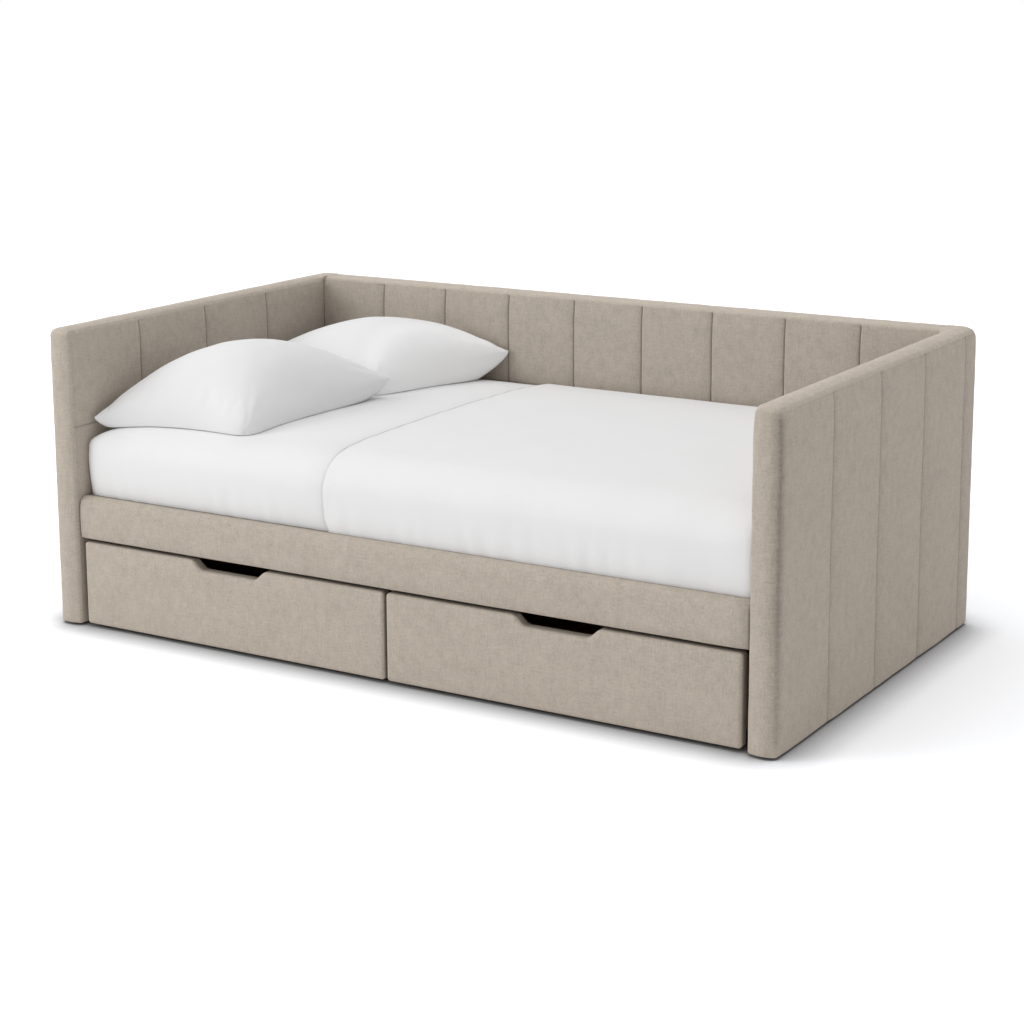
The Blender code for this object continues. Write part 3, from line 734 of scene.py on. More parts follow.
notch_top_half, notch_floor_half, notch_depth = 0.113, 0.086, 0.025
recess_rim, recess_depth = 0.0117, 0.0153
drawer_edge_radius = 0.0085
drawer_swell = 0.0014
drawer_top_drop = 0.0035
# Painted shade on the edges turned in towards the gaps and inside the finger notch
turned_in_shade = 0.55


class DAYBED_OT_drawer_fronts(bpy.types.Operator):
    """Upholster both drawer fronts, with a finger notch in the top edge"""

    bl_idname = "daybed.drawer_fronts"
    bl_label = "Drawer fronts"

    def execute(self, context):
        for body, seed in (("left_drawer", 31), ("right_drawer", 32)):
            low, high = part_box(f"{body}_front_cover")
            piece = start_block(f"{body}_front_upholstery", low, high)
            bpy.ops.object.mode_set(mode="EDIT")
            self.shape(piece, low, high)
            bpy.ops.object.mode_set(mode="OBJECT")
            self.pad(piece, low, high, Lumps(0.13, 0.0005, seed))
            lay_cloth_map(piece, ACROSS)
            hand_over(piece, f"{body}_front_cover", "upholstery", body, 40)
        return {"FINISHED"}

    def shape(self, piece, low, high):
        """In edit mode, sink the notch, recess the rear for the board and round the front's edges."""
        middle = (low.x + high.x) / 2
        notch_places = [middle + shift for shift in (
            -notch_top_half, -notch_floor_half, notch_floor_half, notch_top_half)]
        cut_across(ACROSS, notch_places)
        pick(piece, "VERT", lambda vert: vert.co.z > high.z - touching
             and abs(vert.co.x - middle) < notch_floor_half + touching)
        bpy.ops.transform.translate(value=(0, 0, -notch_depth))
        pick(piece, "FACE", lambda face: face.normal.y > 0.9)
        bpy.ops.mesh.inset(thickness=recess_rim, depth=0)
        bpy.ops.mesh.extrude_region_move(TRANSFORM_OT_translate={"value": (0, -recess_depth, 0)})
        round_off(piece, drawer_edge_radius, 5, lambda edge: edge.calc_face_angle(0) > math.radians(30)
                  and min(vert.co.y for vert in edge.verts) < low.y + touching)
        cut_across(ACROSS, np.arange(low.x + 0.02, high.x - 0.015, 0.022))
        cut_across(UP, np.arange(low.z + 0.016, high.z - notch_depth - 0.012, 0.018))
        quarter_faces()

    def pad(self, piece, low, high, lumps):
        """Swell the front, lower its top edge a little and paint shade on the edges that are turned in and
        inside the notch.
        """
        points = points_of(piece)
        moved = points.copy()
        notch_floor = high.z - notch_depth
        front = ramp(high.y - points[:, DEEP], 0.022, 0.028)
        inset = np.minimum(
            np.minimum(points[:, ACROSS] - low.x, high.x - points[:, ACROSS]),
            np.minimum(points[:, UP] - low.z, high.z - points[:, UP]))
        swell = drawer_swell * (ramp(inset, 0, 0.05) - 1)
        moved[:, DEEP] -= front * (swell + lumps.over(points))
        moved[:, UP] -= drawer_top_drop * ramp(points[:, UP], notch_floor - 0.05, notch_floor)
        set_points(piece, moved)
        # Painted shade: the edges turned in towards the gaps and the notch's sides are painted darker, where
        # shade falls
        turned_in = ramp(points[:, DEEP], low.y + 0.002, low.y + 0.022) * ramp(inset, 0.006, 0.0)
        across = np.abs(points[:, ACROSS] - (low.x + high.x) / 2)
        in_notch = ramp(points[:, UP], notch_floor - 0.006, notch_floor)
        behind = ramp(points[:, DEEP], low.y + 0.002, low.y + 0.02)
        notched = ramp(across, notch_top_half, notch_floor_half) * in_notch * behind
        write_attribute(piece, "painted_shading", 1 - turned_in_shade * np.maximum(turned_in, 0.5 * notched))
        write_attribute(piece, "gathers", np.zeros(len(points)))


# Form of the mattress: the line where it is widest and how far its sides lie in at a height beside it, how
# far its section is rounded at the upper front (deep and high, in its middle and at its ends), at the upper
# rear and below, and how its ends are pulled down

widest_height = 0.440
low_side_inset, high_side_inset, side_height = 0.018, 0.034, 0.125
end_bulge_share = 0.35
end_radius = 0.015
front_rounding = (0.120, 0.085)
end_rounding = (0.026, 0.020)
rear_rounding, low_rounding = 0.036, 0.028
end_reach = 0.13
right_end_share = 0.75
left_pull, right_pull, pull_reach = 0.036, 0.005, 0.14
front_drop, rear_drop = 0.012, 0.006
lift_height = 0.10


class Press(NamedTuple):
    """Where a pillow presses the mattress, how wide and deep that is, how sharp and how far down."""

    across: float
    deep: float
    half_width: float
    half_length: float
    power: int
    sink: float


presses = (
    Press(-0.72, -0.20, 0.25, 0.29, 4, 0.006), Press(-0.66, 0.29, 0.26, 0.21, 4, 0.006),
    Press(-0.455, -0.44, 0.05, 0.06, 2, 0.005))


def side_inset(height):
    """How far the mattress's bulging sides lie inside their widest line."""
    share = (height - widest_height) / side_height
    return np.where(height < widest_height, low_side_inset, high_side_inset) * share ** 2


def pressed_by_pillows(across, deep):
    """How far the mattress is pressed down under and round the pillows."""
    total = 0
    for press in presses:
        beside = ((across - press.across) / press.half_width) ** press.power
        before = ((deep - press.deep) / press.half_length) ** press.power
        total = total + press.sink * np.exp(-beside - before)
    return total


def section_rounding(flat, low, high, from_end, left):
    """How far the mattress's section is rounded at each point, deep and high."""
    depth_share = (flat[:, 0] - low[0]) / (high[0] - low[0])
    upper = flat[:, 1] > (low[1] + high[1]) / 2
    away = ramp(from_end, 0.0, end_reach)
    away = np.where(left, away, right_end_share + (1 - right_end_share) * away)
    shoulder, rise = (end + (front - end) * away for front, end in zip(front_rounding, end_rounding))
    reach = np.empty_like(flat)
    reach[:, 0] = np.where(upper, np.where(depth_share < 0.5, shoulder, rear_rounding), low_rounding)
    towards_rear = ramp(depth_share, 0.05, 0.95)
    reach[:, 1] = np.where(upper, rise + (rear_rounding - rise) * towards_rear, low_rounding)
    return reach


def dress_mattress(box_points, grow):
    """Move points of the mattress's box onto its soft round form, grown outwards by that much."""
    low = np.array((mattress_front, mattress_bottom))
    high = np.array((mattress_rear, mattress_top))
    flat = box_points[:, (DEEP, UP)]
    side, left = np.sign(box_points[:, ACROSS]), box_points[:, ACROSS] < 0
    from_end = mattress_high.x - np.abs(box_points[:, ACROSS])
    inside = np.minimum(flat - low, high - flat).min(axis=1)
    beside = np.clip(end_radius - from_end, 0, end_radius)
    above = np.clip(end_radius - inside, 0, end_radius)
    far = np.maximum(np.hypot(beside, above), tiny)
    scale = np.where(beside > 0, np.maximum(beside, above) / far, 1)
    sink = above * (1 - scale)
    reach = section_rounding(flat, low, high, from_end, left)
    core = np.clip(flat, low + reach, high - reach)
    out = (flat - core) / reach
    length = np.maximum(np.linalg.norm(out, axis=1), tiny)
    largest = np.abs(out).max(axis=1)
    direction = out / length[:, None] * reach
    span = np.maximum(np.linalg.norm(direction, axis=1), tiny)
    radial = np.maximum(largest + (grow - sink) / span, 0) * (largest > 1e-6)
    placed = np.empty_like(box_points)
    placed[:, (DEEP, UP)] = core + direction * radial[:, None]
    rounded_end = side * (mattress_high.x - end_radius + beside * scale)
    placed[:, ACROSS] = np.where(beside > 0, rounded_end, box_points[:, ACROSS])
    core_front, core_rear = mattress_front + front_rounding[0], mattress_rear - rear_rounding
    share = (placed[:, DEEP] - (core_front + core_rear) / 2) / ((core_rear - core_front) / 2)
    share = np.clip(share, -1, 1)
    drop = np.where(share < 0, front_drop, rear_drop) * np.abs(share) ** 4
    pulled = np.where(left, left_pull, right_pull) * np.clip(1 - from_end / pull_reach, 0, 1) ** 2
    lift = ramp(placed[:, UP], mattress_bottom + lift_height, mattress_top)
    placed[:, UP] -= (drop + pulled + pressed_by_pillows(placed[:, ACROSS], placed[:, DEEP])) * lift
    inset = side_inset(np.clip(placed[:, UP], mattress_bottom, mattress_top - 0.07))
    placed[:, DEEP] += inset * np.clip(-out[:, 0], 0, 1) - inset * np.clip(out[:, 0], 0, 1)
    placed[:, ACROSS] -= np.sign(placed[:, ACROSS]) * inset * end_bulge_share * ramp(beside, 0, end_radius)
    return placed


def top_height(across, deep):
    """Height of the mattress's upper surface at places in plan."""
    front_rows, top_rows = 40, 300
    section = np.zeros((front_rows + top_rows, 3))
    section[:, ACROSS] = 0.5
    section[:front_rows, DEEP] = mattress_front
    section[:front_rows, UP] = np.linspace(widest_height, mattress_top, front_rows)
    section[front_rows:, DEEP] = np.linspace(mattress_front, mattress_rear, top_rows)
    section[front_rows:, UP] = mattress_top
    placed = dress_mattress(section, 0.0)
    order = np.argsort(placed[:, DEEP])
    level = np.interp(deep, placed[order, DEEP], placed[order, UP])
    return level - pressed_by_pillows(across, deep) * ramp(level, mattress_bottom + lift_height, mattress_top)


def bedding_wrinkles(points, height):
    """Very soft wrinkles: upright gathers low on the front, faint ripples on top."""
    low_front = ramp(-points[:, DEEP], 0.50, 0.55) * (1 - ramp(points[:, UP], 0.36, 0.47))
    gathers = soft_noise(points * (1, 0.1, 0.12), 0.035, 41) * low_front
    ripples = soft_noise(points * (0.8, 1, 0.5), 0.16, 43)
    return height * (1.5 * gathers + 0.5 * ripples)


# The cover's turned-down edge: its places across the bed, from the front to the rear, how far it turns
# aside low on the front, where the mattress is cut finely under it, and the painted shades of the line there

hem_deeps = (-0.56, -0.42, -0.26, -0.05, 0.16, 0.36, 0.51)
hem_places = (-0.194, -0.197, -0.190, -0.1945, -0.1955, -0.188, -0.166)
hem_turn, hem_turn_height = 0.010, 0.385
hem_cut_span, hem_cut_pitch, hem_free_span = (-0.2175, -0.1500), 0.0032, (-0.225, -0.142)
sheet_line_shade = 0.22
sheet_side_shade = Fade(0.10, 0.028)
hem_front_shade, hem_top_shade = 0.42, 0.16


def hem_line(deep, height):
    """X of the cover's turned-down edge, by how far back it is and how low."""
    return np.interp(deep, hem_deeps, hem_places) + hem_turn * ramp(hem_turn_height - height, 0.0, 0.04)


def on_flat_top(points):
    """0 on the mattress's front and 1 on its top."""
    return ramp(points[:, DEEP], mattress_front + 0.02, mattress_front + 0.12)


class DAYBED_OT_mattress(bpy.types.Operator):
    """Model the mattress in its fitted sheet"""

    bl_idname = "daybed.mattress"
    bl_label = "Mattress"

    def execute(self, context):
        low, high = mattress_low, mattress_high
        piece = start_block("mattress_with_sheet", low, high)
        bpy.ops.object.mode_set(mode="EDIT")
        hem_cuts = np.arange(*hem_cut_span, hem_cut_pitch)
        plain_cuts = [
            place for place in np.linspace(low.x, high.x, 66)[1:-1]
            if not hem_free_span[0] < place < hem_free_span[1]]
        cut_across(ACROSS, sorted([*plain_cuts, *hem_cuts]))
        cut_across(DEEP, np.linspace(low.y, high.y, 40)[1:-1])
        cut_across(UP, np.linspace(low.z, high.z, 14)[1:-1])
        bpy.ops.object.mode_set(mode="OBJECT")
        set_points(piece, dress_mattress(points_of(piece), 0.0))
        finish_modifier(piece, "SUBSURF", levels=1, render_levels=1)
        points, normals = points_of(piece), normals_of(piece)
        above = ramp(points[:, UP], mattress_bottom + 0.02, mattress_bottom + 0.06)
        points += normals * (bedding_wrinkles(points, context.scene.daybed_bedding.wrinkle) * above)[:, None]
        set_points(piece, points)
        # Painted shadow on the sheet beside the cover's turned-down edge: a fine dark line and a soft spread
        # where its shade falls
        beside = hem_line(points[:, DEEP], points[:, UP]) - points[:, ACROSS]
        seen = np.clip(beside, 0, None)
        line = sheet_line_shade * bump_at(seen, 0.0045 + 0.0075 * on_flat_top(points))
        shade = (line + sheet_side_shade.at(seen)) * above * ramp(beside, -0.02, -0.01)
        write_attribute(piece, "bedding_painted_shading", 1 - shade)
        lay_cloth_map(piece, ACROSS)
        hand_over(piece, "mattress", "bedding", "daybed_frame", 60)
        return {"FINISHED"}


# The cover's section, its left side in plan, where its right and low edges lie, its room over the mattress
# and its columns beside the hem

cover_left, cover_right, cover_low = -0.19, mattress_high.x - 0.003, 0.302
cover_room = 0.0012
hem_columns = (0, 0.002, 0.005, 0.010, 0.018, 0.030)
plain_columns_start, plain_columns = 0.046, 86
hem_roll, hem_draw = Line(0.012, 0.010, 0.0010), Fade(0.0010, 0.004)
hem_lumps, hem_lumps_fade = Lumps(0.05, 0.0012, 47), Fade(1, 0.03)


class DAYBED_OT_bed_cover(bpy.types.Operator):
    """Drape the thin cover over the right part of the mattress"""

    bl_idname = "daybed.bed_cover"
    bl_label = "Bed cover"

    def execute(self, context):
        sizes = context.scene.daybed_bedding
        section = self.section()
        width = cover_right - cover_left
        plain = np.linspace(plain_columns_start, width, plain_columns)
        columns_at = np.concatenate((hem_columns, plain)) / width
        rows, columns = len(section), len(columns_at)
        bpy.ops.object.select_all(action="DESELECT")
        bpy.ops.mesh.primitive_grid_add(x_subdivisions=columns - 1, y_subdivisions=rows - 1, size=2)
        piece = context.object
        piece.name = piece.data.name = "thin_bed_cover"
        flat = points_of(piece)
        share = columns_at[np.rint((flat[:, 0] + 1) / 2 * (columns - 1)).astype(int)]
        row = np.rint((flat[:, 1] + 1) / 2 * (rows - 1)).astype(int)
        box_points = np.empty_like(flat)
        box_points[:, (DEEP, UP)] = section[row]
        box_points[:, ACROSS] = 0.5
        rest = dress_mattress(box_points, 0.0)
        left = hem_line(rest[:, DEEP], rest[:, UP])
        box_points[:, ACROSS] = left + (cover_right - left) * share
        placed = dress_mattress(box_points, cover_room)
        set_points(piece, placed)
        self.turn_up(piece)
        beyond = placed[:, ACROSS] - left
        hem = hem_roll.at(beyond) - hem_draw.at(beyond) + hem_lumps.over(placed) * hem_lumps_fade.at(beyond)
        shown = ramp(placed[:, UP], 0.33, 0.36)
        lift = (bedding_wrinkles(placed, sizes.wrinkle) + hem + cover_room) * shown
        set_points(piece, placed + normals_of(piece) * lift[:, None])
        finish_modifier(piece, "SOLIDIFY", thickness=sizes.cover_thickness, offset=1.0, use_rim=True)
        finish_modifier(piece, "SUBSURF", levels=1, render_levels=1)
        self.shade_hem(piece)
        lay_cloth_map(piece, ACROSS)
        hand_over(piece, "bed_cover", "bedding", "daybed_frame", 60)
        return {"FINISHED"}

    def section(self):
        """The cover's way up the front of the mattress's box, over its top and down its rear."""
        low_front = np.linspace(cover_low, widest_height, 12)
        front = [*low_front, *np.linspace(widest_height, mattress_top, 16)[1:]]
        top = np.linspace(mattress_front, mattress_rear, 64)[1:]
        rear = np.linspace(mattress_top, cover_low, 20)[1:]
        return np.array([
            *((mattress_front, height) for height in front), *((deep, mattress_top) for deep in top),
            *((mattress_rear, height) for height in rear)])

    def turn_up(self, piece):
        """Make the cover's faces look away from the mattress."""
        bpy.ops.object.mode_set(mode="EDIT")
        bpy.ops.mesh.select_all(action="SELECT")
        bpy.ops.mesh.normals_make_consistent(inside=False)
        bpy.ops.object.mode_set(mode="OBJECT")

    def shade_hem(self, piece):
        """Painted shade: a fine dark line along the turned-down edge, where shade falls, lighter on the
        edge's own side.
        """
        points = points_of(piece)
        rim = points[:, ACROSS] - hem_line(points[:, DEEP], points[:, UP])
        flat_top = on_flat_top(points)
        on_top = 0.30 + 0.70 * ramp(rim, -0.0002, 0.0018)
        line = bump_at(np.clip(rim, 0, None), 0.0034 + 0.0036 * flat_top)
        write_attribute(piece, "bedding_painted_shading", 1 - (hem_front_shade + hem_top_shade * flat_top) * line * on_top)


class Pillow(NamedTuple):
    """One pillow: its body, its four corners, how full it is and how it lies.

    power and skew say how its crown spreads and leans, blunt how far each corner is worn in, waists how
    far the left, right, front and rear edges are drawn in, hang how far it hangs below its edge, and lit
    how much lighter its right side is painted: a painted light.
    """

    node: str
    body: str
    corners: tuple
    crown: float
    power: float
    skew: tuple
    blunt: tuple
    waists: tuple
    hang: float
    lit: float
    seed: int


pillow_signs = ((-1, -1), (1, -1), (1, 1), (-1, 1))
pillows = (
    Pillow(
        node="pillow_front", body="front_pillow", crown=0.1617, power=1.0188, skew=(0.0773, -0.1479),
        corners=(
            (-0.945, -0.532, 0.551), (-0.495, -0.475, 0.538), (-0.440, 0.090, 0.600), (-0.930, 0.055, 0.570)),
        blunt=(0.0, 0.07, 0.0, 0.0), waists=(0.05, 0.06, 0.15, 0.05), hang=0.11, lit=0.03, seed=51),
    Pillow(
        node="pillow_rear", body="rear_pillow", crown=0.1105, power=1.0472, skew=(0.4662, -0.1571),
        corners=(
            (-0.930, 0.090, 0.600), (-0.487, 0.065, 0.556), (-0.310, 0.497, 0.6235), (-0.900, 0.497, 0.650)),
        blunt=(0.0, 0.12, 0.0, 0.0), waists=(0.05, 0.12, 0.08, 0.03), hang=0.16, lit=0.17, seed=57))

# A pillow's room over the mattress, how far its sewn edge stands over that and half that edge's thickness

pillow_room, pillow_edge_room, pillow_edge_half = 0.0012, 0.0035, 0.0026
pillow_cuts = 57


def pillow_points(pillow, a, b, top):
    """Points of a pillow's case from its own square, -1 to 1 both ways."""
    left, right, front, rear = pillow.waists
    corners = np.array(pillow.corners)
    middle = corners.mean(axis=0)
    across = a * (1 - np.where(a < 0, left, right) * (1 - b * b))
    deep = b * (1 - np.where(b < 0, front, rear) * (1 - a * a))
    weights = np.stack([(1 + i * across) * (1 + j * deep) / 4 for i, j in pillow_signs], axis=1)
    rim = weights @ corners
    for (i, j), corner, blunt in zip(pillow_signs, corners, pillow.blunt):
        near = np.clip(i * a, 0, 1) ** 7 * np.clip(j * b, 0, 1) ** 7
        rim[:, :2] -= (near * blunt)[:, None] * (corner - middle)[:2] * 1.6
    fill = np.sqrt(np.clip((1 - a * a) * (1 - b * b), 0, 1))
    crown = pillow.crown * fill ** pillow.power * (1 + pillow.skew[0] * a + pillow.skew[1] * b)
    resting = top_height(rim[:, 0], rim[:, 1]) + pillow_room
    edge_height = np.maximum(rim[:, 2], resting + pillow_edge_room)
    on_edge = np.maximum(np.abs(a), np.abs(b)) > 1 - touching
    belly = np.maximum(edge_height - pillow.hang * fill ** 0.7 - 0.003, resting)
    placed = rim.copy()
    placed[:, 2] = np.where(
        on_edge, edge_height + np.where(top, pillow_edge_half, -pillow_edge_half),
        np.where(top, edge_height + crown, belly))
    return placed


def pillow_creases(pillow, a, b):
    """Soft folds that fan out from the corners, and small gathers along the sewn edge."""
    fold_height, gather_height = 0.0010, 0.0007
    total = np.zeros(len(a))
    for number, (i, j) in enumerate(pillow_signs):
        right, up = 1 - i * a, 1 - j * b
        spread = np.hypot(right, up)
        angle = np.arctan2(up, right)
        fan = np.sin(angle * (9 + 2 * number) + pillow.seed + number)
        fan = fan + 0.6 * np.sin(angle * 17 + number * 2.1)
        total += fold_height * fan * bump_at(spread - 0.26, 0.16)
    inset = 1 - np.maximum(np.abs(a), np.abs(b))
    along = np.where(np.abs(a) > np.abs(b), b, a)
    gather = np.sin(along * 31 + pillow.seed) + np.sin(along * 47 + 1.3 * pillow.seed)
    return total + gather_height * gather * bump_at(inset - 0.10, 0.09)


class DAYBED_OT_pillows(bpy.types.Operator):
    """Fill and lay both pillows"""

    bl_idname = "daybed.pillows"
    bl_label = "Pillows"

    def execute(self, context):
        cuts = np.sin(np.linspace(-1, 1, pillow_cuts)[1:-1] * math.pi / 2)
        for pillow in pillows:
            piece = start_block(f"{pillow.node}_case", (-1, -1, -1), (1, 1, 1))
            bpy.ops.object.mode_set(mode="EDIT")
            cut_across(ACROSS, cuts)
            cut_across(DEEP, cuts)
            bpy.ops.object.mode_set(mode="OBJECT")
            square = points_of(piece)
            a, b, top = square[:, 0], square[:, 1], square[:, 2] > 0
            placed = pillow_points(pillow, a, b, top)
            set_points(piece, placed)
            inner = ramp(1 - np.maximum(np.abs(a), np.abs(b)), 0.0, 0.04) * top
            wide, small = Lumps(0.17, 0.0020, pillow.seed), Lumps(0.07, 0.0006, pillow.seed + 1)
            relief = (pillow_creases(pillow, a, b) + wide.over(placed) + small.over(placed)) * inner
            set_points(piece, placed + normals_of(piece) * relief[:, None])
            lay_cloth_map(piece, ACROSS)
            finish_modifier(piece, "SUBSURF", levels=1, render_levels=1)
            # Painted light: the sides that face right are painted lighter
            to_right = ramp(normals_of(piece)[:, ACROSS], 0.05, 0.5)
            write_attribute(piece, "bedding_painted_shading", 1 + pillow.lit * to_right)
            hand_over(piece, pillow.node, "bedding", pillow.body, 70)
        return {"FINISHED"}


# Materials


def new_finish(name, colour, roughness, metallic=0.0):
    """A material with its shader, ready for its pattern."""
    made = bpy.data.materials.new(name)
    made.use_nodes = True
    shader = made.node_tree.nodes["Principled BSDF"]
    shader.inputs["Base Color"].default_value = (*colour, 1)
    shader.inputs["Roughness"].default_value = roughness
    shader.inputs["Metallic"].default_value = metallic
    return made.node_tree, shader


def add_node(tree, kind, **settings):
    node = tree.nodes.new(kind)
    for key, value in settings.items():
        setattr(node, key, value)
    return node


def math_of(tree, operation, first, second):
    """A Math node's result; either side may be a number or a socket."""
    node = add_node(tree, "ShaderNodeMath", operation=operation)
    for slot, value in ((0, first), (1, second)):
        if isinstance(value, (int, float)):
            node.inputs[slot].default_value = value
        else:
            tree.links.new(value, node.inputs[slot])
    return node.outputs[0]


def plus(tree, first, second):
    return math_of(tree, "ADD", first, second)


def times(tree, first, second):
    return math_of(tree, "MULTIPLY", first, second)


def noise_of(tree, source, stretch, scale, detail=2.0, roughness=0.5):
    """Noise from a vector, stretched along its axes."""
    mapping = add_node(tree, "ShaderNodeMapping")
    mapping.inputs["Scale"].default_value = stretch
    tree.links.new(source, mapping.inputs["Vector"])
    noise = add_node(tree, "ShaderNodeTexNoise")
    noise.inputs["Scale"].default_value = scale
    noise.inputs["Detail"].default_value = detail
    noise.inputs["Roughness"].default_value = roughness
    tree.links.new(mapping.outputs["Vector"], noise.inputs["Vector"])
    return noise.outputs["Fac"]


def spread_of(tree, source, low, high, to_low, to_high):
    """Map a range of a value onto another range."""
    node = add_node(tree, "ShaderNodeMapRange")
    for key, value in (("From Min", low), ("From Max", high), ("To Min", to_low), ("To Max", to_high)):
        node.inputs[key].default_value = value
    tree.links.new(source, node.inputs["Value"])
    return node.outputs["Result"]


def attribute_of(tree, name):
    return add_node(tree, "ShaderNodeAttribute", attribute_name=name).outputs["Fac"]


def cloth_map(tree):
    return add_node(tree, "ShaderNodeUVMap", uv_map="cloth").outputs["UV"]


def own_place(tree):
    return add_node(tree, "ShaderNodeTexCoord").outputs["Object"]


def scaled(tree, colour, shade):
    """A plain colour times a shade."""
    mix = add_node(tree, "ShaderNodeVectorMath", operation="SCALE")
    mix.inputs[0].default_value = colour
    tree.links.new(shade, mix.inputs["Scale"])
    return mix.outputs["Vector"]


def tinted(tree, shader, colour, shade):
    """Multiply a plain colour by a shade and feed the shader with it."""
    tree.links.new(scaled(tree, colour, shade), shader.inputs["Base Color"])


def raised(tree, shader, height, distance, strength):
    bump = add_node(tree, "ShaderNodeBump")
    bump.inputs["Distance"].default_value = distance
    bump.inputs["Strength"].default_value = strength
    tree.links.new(height, bump.inputs["Height"])
    tree.links.new(bump.outputs["Normal"], shader.inputs["Normal"])


def upholstery_weave(colour):
    """Heathered plain weave, with slubs both ways, painted shade in the crease where it is sewn and in the
    puckers at the fold, and the painted highlights each piece keeps.
    """
    tree, shader = new_finish("upholstery_weave", colour, 0.92)
    shader.inputs["Specular IOR Level"].default_value = 0.22
    shader.inputs["Sheen Weight"].default_value = 0.15
    shader.inputs["Sheen Roughness"].default_value = 0.4
    shader.inputs["Sheen Tint"].default_value = (1, 0.93, 0.86, 1)
    laid = cloth_map(tree)
    split = add_node(tree, "ShaderNodeSeparateXYZ")
    tree.links.new(laid, split.inputs[0])
    thread_pitch = 0.0036
    thread = 2 * math.pi / thread_pitch
    warp = math_of(tree, "SINE", times(tree, split.outputs["X"], thread), 0)
    weft = math_of(tree, "SINE", times(tree, split.outputs["Y"], thread), 0)
    crossing = times(tree, warp, weft)
    up_slub = noise_of(tree, laid, (1, 0.16, 1), 210, 3, 0.6)
    side_slub = noise_of(tree, laid, (0.16, 1, 1), 210, 3, 0.6)
    fleck = noise_of(tree, laid, (1, 1, 1), 190, 3, 0.65)
    cloud = noise_of(tree, laid, (1, 0.7, 1), 46, 4, 0.6)
    drift = noise_of(tree, laid, (1, 1, 1), 8, 3, 0.5)
    shade = spread_of(tree, up_slub, 0.3, 0.7, -0.055, 0.055)
    for part, amount in ((side_slub, 0.045), (fleck, 0.10), (cloud, 0.065), (drift, 0.03)):
        shade = plus(tree, shade, spread_of(tree, part, 0.3, 0.7, -amount, amount))
    shade = plus(tree, shade, 1.0)
    # Painted light and shade from each piece's attribute, and painted shade in the fold's puckers
    seam, gathers = attribute_of(tree, "painted_shading"), attribute_of(tree, "gathers")
    puckers = noise_of(tree, laid, (0.12, 1, 1), 130, 2, 0.5)
    pucker_painted_shade = times(tree, gathers, spread_of(tree, puckers, 0.3, 0.7, -0.18, 0.12))
    shade = plus(tree, shade, pucker_painted_shade)
    tinted(tree, shader, colour, times(tree, shade, seam))
    tucks = times(tree, puckers, gathers)
    height = times(tree, crossing, 0.2)
    for part, amount in ((up_slub, 0.9), (side_slub, 0.9), (fleck, 0.9), (tucks, 5.0)):
        height = plus(tree, height, times(tree, part, amount))
    raised(tree, shader, height, 0.0009, 0.6)


def bedding_cotton(colour):
    """Smooth white cotton with a fine thread and faint soft creases, times the painted light and shade each
    piece keeps.
    """
    tree, shader = new_finish("bedding_cotton", colour, 0.88)
    shader.inputs["Specular IOR Level"].default_value = 0.25
    shader.inputs["Sheen Weight"].default_value = 0.08
    laid = cloth_map(tree)
    warp = noise_of(tree, laid, (1, 0.1, 1), 900, 1)
    weft = noise_of(tree, laid, (0.1, 1, 1), 900, 1)
    cloud = noise_of(tree, laid, (1, 1, 1), 7, 2)
    crease = noise_of(tree, laid, (1, 0.45, 1), 26, 3, 0.45)
    threads = spread_of(tree, warp, 0.3, 0.7, -0.008, 0.008)
    shade = plus(tree, spread_of(tree, cloud, 0.3, 0.7, 0.992, 1.008), threads)
    tinted(tree, shader, colour, times(tree, shade, attribute_of(tree, "bedding_painted_shading")))
    height = plus(tree, times(tree, warp, 0.12), times(tree, weft, 0.12))
    raised(tree, shader, plus(tree, height, crease), 0.0012, 0.22)


def timber_finish(name, colour, along):
    """Clear-coated pine, its grain running along one axis."""
    tree, shader = new_finish(name, colour, 0.55)
    place = own_place(tree)
    stretch = [1.0, 1.0, 1.0]
    stretch[along] = 0.06
    grain = noise_of(tree, place, stretch, 90, 4, 0.6)
    rings = noise_of(tree, place, stretch, 22, 2, 0.5)
    fibre = noise_of(tree, place, stretch, 600, 2, 0.5)
    shade = spread_of(tree, grain, 0.3, 0.7, 0.86, 1.06)
    shade = times(tree, shade, spread_of(tree, rings, 0.35, 0.65, 0.86, 1.06))
    tinted(tree, shader, colour, shade)
    raised(tree, shader, plus(tree, fibre, grain), 0.0003, 0.4)
    tree.links.new(spread_of(tree, grain, 0.3, 0.7, 0.62, 0.48), shader.inputs["Roughness"])


def black_plastic(colour):
    """Moulded black plastic with a fine texture."""
    tree, shader = new_finish("moulded_black_plastic", colour, 0.45)
    place = own_place(tree)
    grain = noise_of(tree, place, (1, 1, 1), 900, 2)
    scuff = noise_of(tree, place, (1, 1, 1), 60, 3)
    tree.links.new(spread_of(tree, scuff, 0.3, 0.7, 0.38, 0.55), shader.inputs["Roughness"])
    raised(tree, shader, grain, 0.0002, 0.3)


def plated_steel(colour):
    """Zinc-plated steel with fine brushing."""
    tree, shader = new_finish("plated_steel", colour, 0.35, 1.0)
    brushed = noise_of(tree, own_place(tree), (0.05, 0.05, 1), 1200, 2)
    tree.links.new(spread_of(tree, brushed, 0.3, 0.7, 0.28, 0.42), shader.inputs["Roughness"])
    raised(tree, shader, brushed, 0.0001, 0.3)


